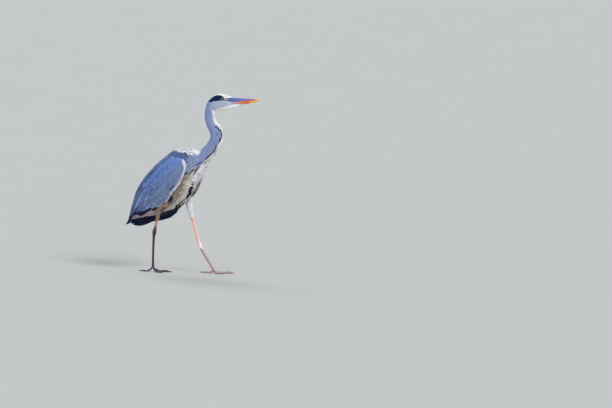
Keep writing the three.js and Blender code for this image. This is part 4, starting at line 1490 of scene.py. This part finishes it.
# Where the grey quills end, in s, for each q. The black primaries show beyond.
QUILL_ENDS = {
    "right": profile([(0, -78), (0.12, -72), (0.3, -46), (0.5, -20), (0.72, 12), (0.85, 40), (1, 75)]),
    "left": profile([(0, -64), (0.3, -44), (0.5, -20), (0.72, 5), (0.8, 60), (0.84, 130), (1, 175)]),
}
PRIMARY_ENDS = {
    "right": profile([(0, -78), (0.3, -80), (0.5, -72), (0.62, -60), (0.74, -36), (0.86, -8), (0.95, -2),
                      (1, 2), (1.06, 8)]),
    "left": profile([(0, -64), (0.3, -68), (0.5, -72), (0.7, -70), (0.85, -66), (1, -60), (1.06, -52)]),
}
PRIMARY_ROOTS = {"right": 112, "left": 182}
PRIMARIES = 14
SECONDARIES = 15                 # in each of three layers
# For each layer of secondaries: s of its roots, how far it is set in, how much shorter it is.
SECONDARY_LAYERS = [(140, 0.0, 0), (158, 0.03, 16), (176, 0.015, 36)]


def wing_slant(s, q):
    """The feathers of the lower half run down across the wing, to end on its lower edge."""
    return np.radians(15) * smooth(q, 0.3, 0.75) * (1 - smooth(s, 190, 290))


def seen_on_wing(s, q, slant, length):
    """The s and q at which the part of a vane that shows lies."""
    return s - length * SEEN, q + np.sin(slant) * length * SEEN / WING_GIRTH


def make_quills(name):
    """Black primaries, and over them the grey secondaries and tertials."""
    surface, ends, root = wings[name], QUILL_ENDS[name], PRIMARY_ROOTS[name]
    coat = Coat(f"quills_{name}")
    q = np.append(np.linspace(0.14, 0.995, PRIMARIES), [1.015, 1.03])
    s = np.append(np.full(PRIMARIES, root), [root - 14.0, root - 32.0])
    length = s - PRIMARY_ENDS[name](q)
    width = np.full_like(q, 21.0)
    points, _, _ = lanes(surface, s, q, QUILL, length, width, np.zeros_like(q), np.full_like(q, -8.5),
                         np.full_like(q, -3.4), 0.7)
    base = np.where((q < 0.35)[:, None], TAIL_BLUE, PRIMARY_BLACK)
    tint = shade(base, QUILL, edge=0.05, shaft=-0.2, spread=0.08)
    coat.add(QUILL, points, tint, wing_place(s, q), length, width)
    # The layers end on the edge of the black, or short of it.
    for layer, (root, shift, shorter) in enumerate(SECONDARY_LAYERS):
        count = SECONDARIES
        q = around(np.linspace(0.04 + shift, 0.96 - shift, count), 0.006, count)
        s = around(root, 6, count)
        stop = ends(q) + shorter * (0.5 + rng.random(count))
        length = np.maximum(s - stop, 30)
        width = around(18, 2, count)
        slant = np.minimum(wing_slant(s, q), (1 - q) * 150 / length + 0.02)
        points, _, _ = lanes(surface, s, q, QUILL, length, width, slant, np.full_like(q, -6.0),
                             np.full_like(q, -1.8 + 0.7 * layer), 0.7)
        seen = wing_tint(*seen_on_wing(s, q, slant, length)) * around(1, 0.07, count)[:, None]
        tint = shade(seen, QUILL, edge=0.2, shaft=-0.25)
        coat.add(QUILL, points, tint, wing_place(s, q), length, width)
    coat.make(WING, [f"wing_{name}_tip"])


def wing_place(s, q):
    return np.stack([(s + 80) / 430, 0.02 + 0.96 * q], -1)


COVERTS_START = 150              # s of the rearmost row of coverts
COVERTS_END = 336                # s at the wing's bend, where the rows stop


def make_coverts(name):
    """Rows of coverts from the quills forward, shorter and closer towards the bend."""
    surface, ends = wings[name], QUILL_ENDS[name]
    coat = Coat(f"coverts_{name}")
    row, number = float(COVERTS_START), 0
    while row < COVERTS_END:
        ahead = (row - COVERTS_START) / (COVERTS_END - COVERTS_START)
        size = 56 * (1 - ahead) ** 1.3 + 13
        gap = size * 0.14
        broad = size * 0.25 + 3.2
        count = int((150 + 45 * (1 - ahead)) / (broad * 0.55))
        q = (np.arange(count) + 0.5 + 0.45 * (number % 2)) / (count + 0.5)
        q = np.clip(q + 0.3 / count * rng.uniform(-1, 1, count), 0.01, 0.99)
        s = np.minimum(around(row, gap * 0.5, count), COVERTS_END + 1)
        length = size * around(1, 0.13, count)
        length = np.minimum(length, (s - ends(q)) * 0.85)
        width = broad * around(1, 0.1, count)
        slant = around(wing_slant(s, q), np.radians(2.5), count)
        low = np.full(count, -4.8 + 1.6 * ahead)
        high = around(-0.2, 0.25, count)
        points, at_s, at_q = lanes(surface, s, q, COVERT, length, width, slant, low, high, 0.35)
        seen_s, seen_q = seen_on_wing(s, q, slant, length)
        tint = shade(wing_tint(seen_s, np.clip(seen_q, 0, 1)), COVERT, edge=0.12, shaft=-0.14, root=-0.1,
                     tip=0.05)
        coat.add(COVERT, points, wing_edging(tint, at_s, at_q), wing_place(s, q), length, width)
        row += gap
        number += 1
    coat.make(WING, [])


def make_scapulars():
    """Long pointed plumes that fall from the shoulders over the upper edge of both wings."""
    coat = Coat("scapulars")
    for name in SIDES:
        surface = wings[name]
        count = 110
        q = 0.02 + 0.2 * rng.random(count) ** 1.2
        s = 120 + 180 * rng.random(count) ** 0.8
        s = np.minimum(s, 312 - 60 * q)
        length = 62 + 46 * rng.random(count)
        width = 8 + 3 * rng.random(count)
        slant = around(np.radians(7), np.radians(4), count)
        low = np.full(count, -2.5)
        high = 0.8 + 1.6 * rng.random(count)
        points, _, _ = lanes(surface, s, q, LANCE, length, width, slant, low, high, 0.4)
        base = mix(SLATE, WING_PALE, np.where(rng.random(count) < 0.25, 0.7, 0.1))
        tint = shade(base, LANCE, edge=0.12, shaft=-0.15, tip=0.25, spread=0.06)
        row = 0 if name == "right" else 0.5
        coat.add(LANCE, points, tint, np.stack([(s + 80) / 430, row + 0.02 + 1.8 * q], -1), length, width)
    coat.make(PLUMAGE)


LEFT = np.array([0.0, 1.0, 0.0])


def strand(form, path, width, thickness, side=LEFT):
    """Vanes along given paths, an array of (count, steps, 3), which lie flat towards side."""
    count, steps = path.shape[:2]
    at = np.linspace(0, 1, steps)
    low = np.clip(np.searchsorted(at, form.x, side="right") - 1, 0, steps - 2)
    part = (form.x - at[low]) * (steps - 1)
    centre = path[:, low] * (1 - part)[None, :, None] + path[:, low + 1] * part[None, :, None]
    way = unit(path[:, low + 1] - path[:, low])
    across = unit(side - way * (way @ side)[..., None])
    up = np.cross(way, across)
    spread = (form.y[None] * width[:, None] / 2)[..., None]
    high = (form.z * thickness)[None, :, None]
    return centre - across * spread - up * high


def make_breast_plumes():
    """Loose lanceolate plumes that hang from the lower breast, white with dark streaks."""
    coat = Coat("breast_plumes")
    lines = np.array(PLUMES, float)
    count = 170
    pick = rng.integers(0, len(lines), count)
    other = rng.integers(0, len(lines), count)
    share = (rng.random(count) * np.where(pick == 1, 0.25, 0.5))[:, None, None]
    nodes = lines[pick] * (1 - share) + lines[other] * share
    nodes = around(nodes, np.array([5, 2.5, 2.5]), nodes.shape)
    at = np.linspace(0, 1, 9)[None, :, None]
    root, middle, tip = nodes[:, 0:1], nodes[:, 1:2], nodes[:, 2:3]
    bend = 2 * middle - (root + tip) / 2
    path = (1 - at) ** 2 * root + 2 * at * (1 - at) * bend + at**2 * tip
    length = np.linalg.norm(np.diff(path, axis=1), axis=2).sum(1)
    width = 7 + 3 * rng.random(count)
    points = strand(LANCE, in_body(path[..., 0], path[..., 1], path[..., 2]), width, 0.6)
    base = np.broadcast_to(PLUME_WHITE, (count, 3))
    streaked = (pick == 1) & (rng.random(count) < 0.9)
    tint = shade(base, LANCE, edge=0.06, shaft=-0.03, spread=0.03)
    dark = (smooth(LANCE.x, 0.45, 0.6) * (1 - smooth(LANCE.x, 0.9, 0.98)))[None, :, None]
    tint = np.where(streaked[:, None, None], tint * (1 - dark) + BLACK * dark, tint)
    place = np.stack([0.1 + 0.8 * rng.random(count), (pick + rng.random(count)) / 4.2], -1)
    coat.add(LANCE, points, tint, place, length, width)
    coat.make(PLUMAGE, ["breast_plumes"])


# Rows of tail feathers: how many, s of their tips and roots, and how light a slate they are.
TAIL_ROWS = [(12, -79, 74, 0.82), (9, -26, 84, 0.95)]


def make_tail():
    """Twelve broad tail feathers, fanned a little, with nine coverts over their roots."""
    coat = Coat("tail_feathers")
    left = in_body(0.0, 0.0, 1.0) - in_body(0.0, 0.0, 0.0)
    for layer, (count, reach, start, tone) in enumerate(TAIL_ROWS):
        fan = np.linspace(-1, 1, count)
        at = np.linspace(0, 1, 9)
        s = start + (reach - start) * at[None] + 3 * np.abs(fan)[:, None] * at[None]
        y = fan[:, None] * (tail_half(s) - 8)
        h = tail_height(s, y) + (1.2 - 1.4 * np.abs(fan)[:, None]) + 1.5 * layer
        length = np.full(count, float(start - reach))
        width = np.full(count, 17.0)
        points = strand(QUILL, in_body(s, h, y), width, 0.8, left)
        tint = shade(np.broadcast_to(SLATE * tone, (count, 3)), QUILL, edge=0.05, shaft=-0.2, tip=-0.35,
                     spread=0.04)
        place = np.stack([np.full(count, 0.25 + 0.5 * layer), 0.1 + 0.4 * (fan + 1)], -1)
        coat.add(QUILL, points, tint, place, length, width)
    coat.make(WING, ["tail"])


# ---------------------------------------------------------------- bill, eyes and claws

def bill_half_shape(upper):
    """One mandible: a half oval on the flat of the mouth line, with a groove along the upper one."""
    tip = BILL_TIP - (0 if upper else 1.5)
    x = np.concatenate([np.linspace(BILL_START, 200, 76), np.linspace(202, tip, 16)])
    u = np.linspace(0, math.pi, 33)
    xx, uu = np.meshgrid(x, u, indexing="ij")
    mouth = bill_mouth(xx) - (0 if upper else 0.35)
    tucked = 0.86 + 0.14 * smooth(xx, 88, 102)
    half = bill_half(xx) * (1 if upper else 0.92) * tucked
    c, n = np.cos(uu), np.sin(uu)
    y = half * power(c, 0.8)
    if upper:
        z = mouth + (bill_top(xx) - mouth) * tucked * n**0.9
        groove = np.exp(-((n - 0.62) / 0.09) ** 2) * smooth(xx, 92, 100) * (1 - smooth(xx, 150, 185))
        y -= np.sign(y) * 0.75 * groove
        nostril = np.exp(-((n - 0.6) / 0.08) ** 2) * smooth(xx, 104, 107) * (1 - smooth(xx, 115, 119))
        y -= np.sign(y) * 1.3 * nostril
    else:
        z = mouth - (mouth - bill_bottom(xx)) * tucked * n**0.9
    inner_y = np.stack([-0.45 * half[:, 0], 0.45 * half[:, 0]], 1)
    return capped(np.concatenate([in_head(xx, y, z), in_head(xx[:, :2], inner_y, mouth[:, :2])], 1))


def solid_mesh(name, points, *face_sets):
    """A closed mesh with all its faces turned outwards."""
    mesh = make_mesh(name, points, *face_sets)
    b = bmesh.new()
    b.from_mesh(mesh)
    bmesh.ops.recalc_face_normals(b, faces=b.faces)
    b.to_mesh(mesh)
    b.free()
    return mesh


def make_bill():
    """Both mandibles, in the colours that run along them."""
    for part in ("upper", "lower"):
        points, quads, caps = bill_half_shape(part == "upper")
        mesh = solid_mesh(f"bill_{part}", points, quads, caps)
        x, _, z = head_place(points)
        if part == "upper":
            high = (z - bill_mouth(x)) / np.maximum(bill_top(x) - bill_mouth(x), 0.5)
            colour = mix(BILL_BLUE, BILL_LILAC, smooth(x, 120, 185))
            shade_line = np.exp(-((high - 0.42) / 0.2) ** 2) * (1 - smooth(x, 108, 150))
            colour = mix(colour, LORE_LINE, 0.6 * shade_line)
            # Painted highlight: pale along the top of the ridge.
            colour = mix(colour, BILL_RIDGE_HIGHLIGHT, 0.7 * smooth(high, 0.86, 1))
            low = (1 - smooth(high, 0.03, 0.2)) * smooth(x, 104, 150)
            colour = mix(colour, BILL_CORAL, low)
            colour = mix(colour, BILL_ORANGE, smooth(x + 8 * (1 - high), 196, 210))
        else:
            colour = mix(MANDIBLE_BASE, MANDIBLE_PINK, smooth(x, 106, 136))
            colour = mix(colour, MANDIBLE_RED, smooth(x, 134, 160))
            colour = mix(colour, MANDIBLE_YELLOW, smooth(x, 166, 184))
        set_colour(mesh, mix(colour, BILL_PALE_TIP, smooth(x, 208, 219)))
        add_piece(f"bill_{part}", mesh, HORN, [f"bill_{part}"])


CORNEA = 0.03                    # how far the front of an eye bulges, in radii
EYES_FORWARD = 0.22              # how far the eyes look ahead rather than sideways
LID_ANGLE = 0.9                  # how far from the eye's axis the lids' edge runs, in radians


def make_eye(name):
    """One eye with a bulging cornea, and its lids."""
    side = SIDES[name]
    centre = eye_centre(side)
    sideways = in_head(0.0, side * 1.0, 0.0) - in_head(0.0, 0.0, 0.0)
    out = unit(sideways + EYES_FORWARD * (in_head(1.0, 0.0, 0.0) - HEAD_PIVOT))
    u = unit(np.cross(out, np.array([0, 0, 1.0])))
    v = np.cross(u, out)
    polar = np.linspace(0, math.pi, 49)[1:-1]
    turns = np.arange(64) * TURN / 64
    p, r = np.meshgrid(polar, turns, indexing="ij")
    bulge = EYE_RADIUS * (1 + CORNEA * np.exp(-(p / 0.5) ** 2))
    rings = (centre + (bulge * np.cos(p))[..., None] * out
             + (bulge * np.sin(p) * np.cos(r))[..., None] * u
             + (bulge * np.sin(p) * np.sin(r))[..., None] * v)
    ends = centre + out * EYE_RADIUS * (1 + CORNEA), centre - out * EYE_RADIUS
    mesh = solid_mesh(f"eye_{name}", *capped(rings, ends))
    away = np.concatenate([np.repeat(polar, len(turns)), [0, math.pi]]) / EYE_SPREAD
    set_vector(mesh, "vane", np.stack([away, np.zeros_like(away), np.zeros_like(away)], -1))
    add_piece(f"eye_{name}", mesh, EYE, [f"eye_{name}"])
    make_lid(name, centre, out, u, v)


def make_lid(name, centre, out, u, v):
    """A soft ring of lids that holds the eye, drawn out a little to its corners."""
    turns = np.arange(72) * TURN / 72
    section = np.arange(12) * TURN / 12
    r, w = np.meshgrid(turns, section, indexing="ij")
    corner = np.abs(np.cos(r)) ** 3
    angle = LID_ANGLE + 0.13 * corner - 0.06 * (np.sin(r) > 0) * np.sin(r)
    thick = 0.62 + 0.25 * np.maximum(np.sin(r), 0)
    radial = np.cos(angle)[..., None] * out + np.sin(angle)[..., None] * (
        np.cos(r)[..., None] * u + np.sin(r)[..., None] * v)
    outward = unit(np.cos(r)[..., None] * u + np.sin(r)[..., None] * v - 0.35 * out)
    rings = (centre + radial * (EYE_RADIUS + 0.1) + outward * (1.3 * thick * (1 + np.cos(w)))[..., None]
             + radial * (thick * np.sin(w))[..., None] * 0.8)
    quads = ring_faces(len(turns), len(section), looped=True)
    mesh = solid_mesh(f"lid_{name}", rings.reshape(-1, 3), quads)
    set_colour(mesh, np.broadcast_to(LID_GREY, (len(mesh.vertices), 3)))
    add_piece(f"lid_{name}", mesh, SKIN)


claw_radius = profile([(0, 2.3), (0.25, 2.2), (0.5, 1.8), (0.75, 1.2), (1, 0.45)])


def claw_tube(foot, side, heading, length, claw):
    """A curved claw beyond the end of its toe, resting on the floor."""
    away, points = toe_line(foot, side, heading, length)
    across = np.array([-away[1], away[0], 0])
    end = points[-1]

    def surface(t, angle, lift=0.0):
        height = 2.6 + 2.4 * np.sin(math.pi * t * 0.85) - 2.7 * t
        r = claw_radius(t)
        centre = (end * np.array([1, 1, 0]) + away * (claw * t - 1)[..., None]
                  + np.maximum(height, r + 0.05)[..., None] * np.array([0, 0, 1]))
        point = centre + across * (r * 0.85 * np.cos(angle))[..., None]
        point[..., 2] = np.maximum(point[..., 2] + r * np.sin(angle), 0)
        return point

    return tube(surface, np.linspace(0, 1, 22), 16)


def make_claws():
    """Eight claws, one at the end of each toe."""
    for name, leg in LEGS.items():
        for toe_name, heading, length, claw, _ in TOES:
            points, quads, caps = claw_tube(leg["foot"], SIDES[name], heading, length, claw)
            node_name = f"claw_{name}_{toe_name}"
            mesh = solid_mesh(node_name, points, quads, caps)
            set_colour(mesh, np.broadcast_to(CLAW_BROWN, (len(points), 3)))
            add_piece(node_name, mesh, HORN, [node_name])


# ---------------------------------------------------------------- studio

# Lengths in this section are in metres.
FLOOR_HALF = 60.0
FLOOR_GREY = 0.43
# Name, strength and the way towards each lamp.
LAMPS = [("key", 2.05, (0.66, -0.46, 0.6)), ("fill", 1.0, (-0.55, 0.6, 0.6)),
         ("low", 0.32, (0.35, -0.93, 0.1))]
LAMP_SPREAD = math.radians(20)
SKY_COLOUR = (0.94, 0.97, 1.0, 1)
SKY_STRENGTH = 0.72
VIEW_TURN = math.radians(20)
VIEW_TILT = math.radians(6)
VIEW_DISTANCE = 40.0
VIEW_WIDTH = 2.6928              # width of the picture at the bird
VIEW_AIM = (0.5478, 0.2992)      # where the camera looks, to the right of the design's origin and above it


def make_studio():
    """A grey floor, a soft sky and three broad lamps."""
    size = FLOOR_HALF
    mesh = bpy.data.meshes.new("floor")
    corners = [(-size, -size, 0), (size, -size, 0), (size, size, 0), (-size, size, 0)]
    mesh.from_pydata(corners, [], [(0, 1, 2, 3)])
    floor = add_object("floor", mesh)
    material, tree, shader = new_material("studio_floor", 0.9, 0.1)
    noise = pattern(tree, "ShaderNodeTexNoise", in_Scale=3.0)
    ramp = node(tree, "ShaderNodeValToRGB", in_Fac=noise.outputs["Fac"])
    set_stops(ramp, [(0, (FLOOR_GREY * 0.985, FLOOR_GREY, FLOOR_GREY * 0.99)),
                     (1, (FLOOR_GREY * 1.005, FLOOR_GREY * 1.02, FLOOR_GREY * 1.01))])
    tree.links.new(ramp.outputs["Color"], shader.inputs["Base Color"])
    floor.data.materials.append(material)

    world = bpy.data.worlds.new("studio")
    world.use_nodes = True
    world.node_tree.nodes["Background"].inputs["Color"].default_value = SKY_COLOUR
    world.node_tree.nodes["Background"].inputs["Strength"].default_value = SKY_STRENGTH
    bpy.context.scene.world = world

    for name, energy, toward in LAMPS:
        lamp = bpy.data.lights.new(name, "SUN")
        lamp.energy = energy
        lamp.angle = LAMP_SPREAD
        sun = add_object(name, lamp)
        sun.rotation_euler = Vector(toward).to_track_quat("Z", "Y").to_euler()

    bpy.context.scene.view_settings.view_transform = "Standard"


def make_camera():
    """From the bird's right, a little ahead of side-on and looking slightly down."""
    camera = bpy.data.cameras.new("camera")
    camera.sensor_width = 36
    camera.lens = camera.sensor_width * VIEW_DISTANCE / VIEW_WIDTH
    camera.clip_end = 200
    eye = add_object("camera", camera)
    right = Vector((math.cos(VIEW_TURN), math.sin(VIEW_TURN), 0))
    up = Vector((-math.sin(VIEW_TURN) * math.sin(VIEW_TILT), math.cos(VIEW_TURN) * math.sin(VIEW_TILT),
                 math.cos(VIEW_TILT)))
    back = right.cross(up)
    bird = Vector(SHIFT * MM)
    aim = bird + VIEW_AIM[0] * right + VIEW_AIM[1] * up
    eye.location = bird + VIEW_DISTANCE * back
    eye.rotation_euler = (eye.location - aim).to_track_quat("Z", "Y").to_euler()
    bpy.context.scene.camera = eye


# ---------------------------------------------------------------- assembly

make_camera()
make_studio()
envelope = Envelope(fuse(body_parts(0.0, 0.0, 0.0, 0.0), 2.6, 8))
guides = body_guides()
make_head_coat(envelope, guides)
make_neck_coat(envelope, guides)
make_trunk_coat(envelope, guides)
make_thigh_coat(envelope)
make_fill(envelope, guides)
make_skin()
for wing_name in SIDES:
    make_quills(wing_name)
    make_coverts(wing_name)
make_scapulars()
make_breast_plumes()
make_tail()
make_bill()
for eye_name in SIDES:
    make_eye(eye_name)
make_claws()

bpy.context.view_layer.update()
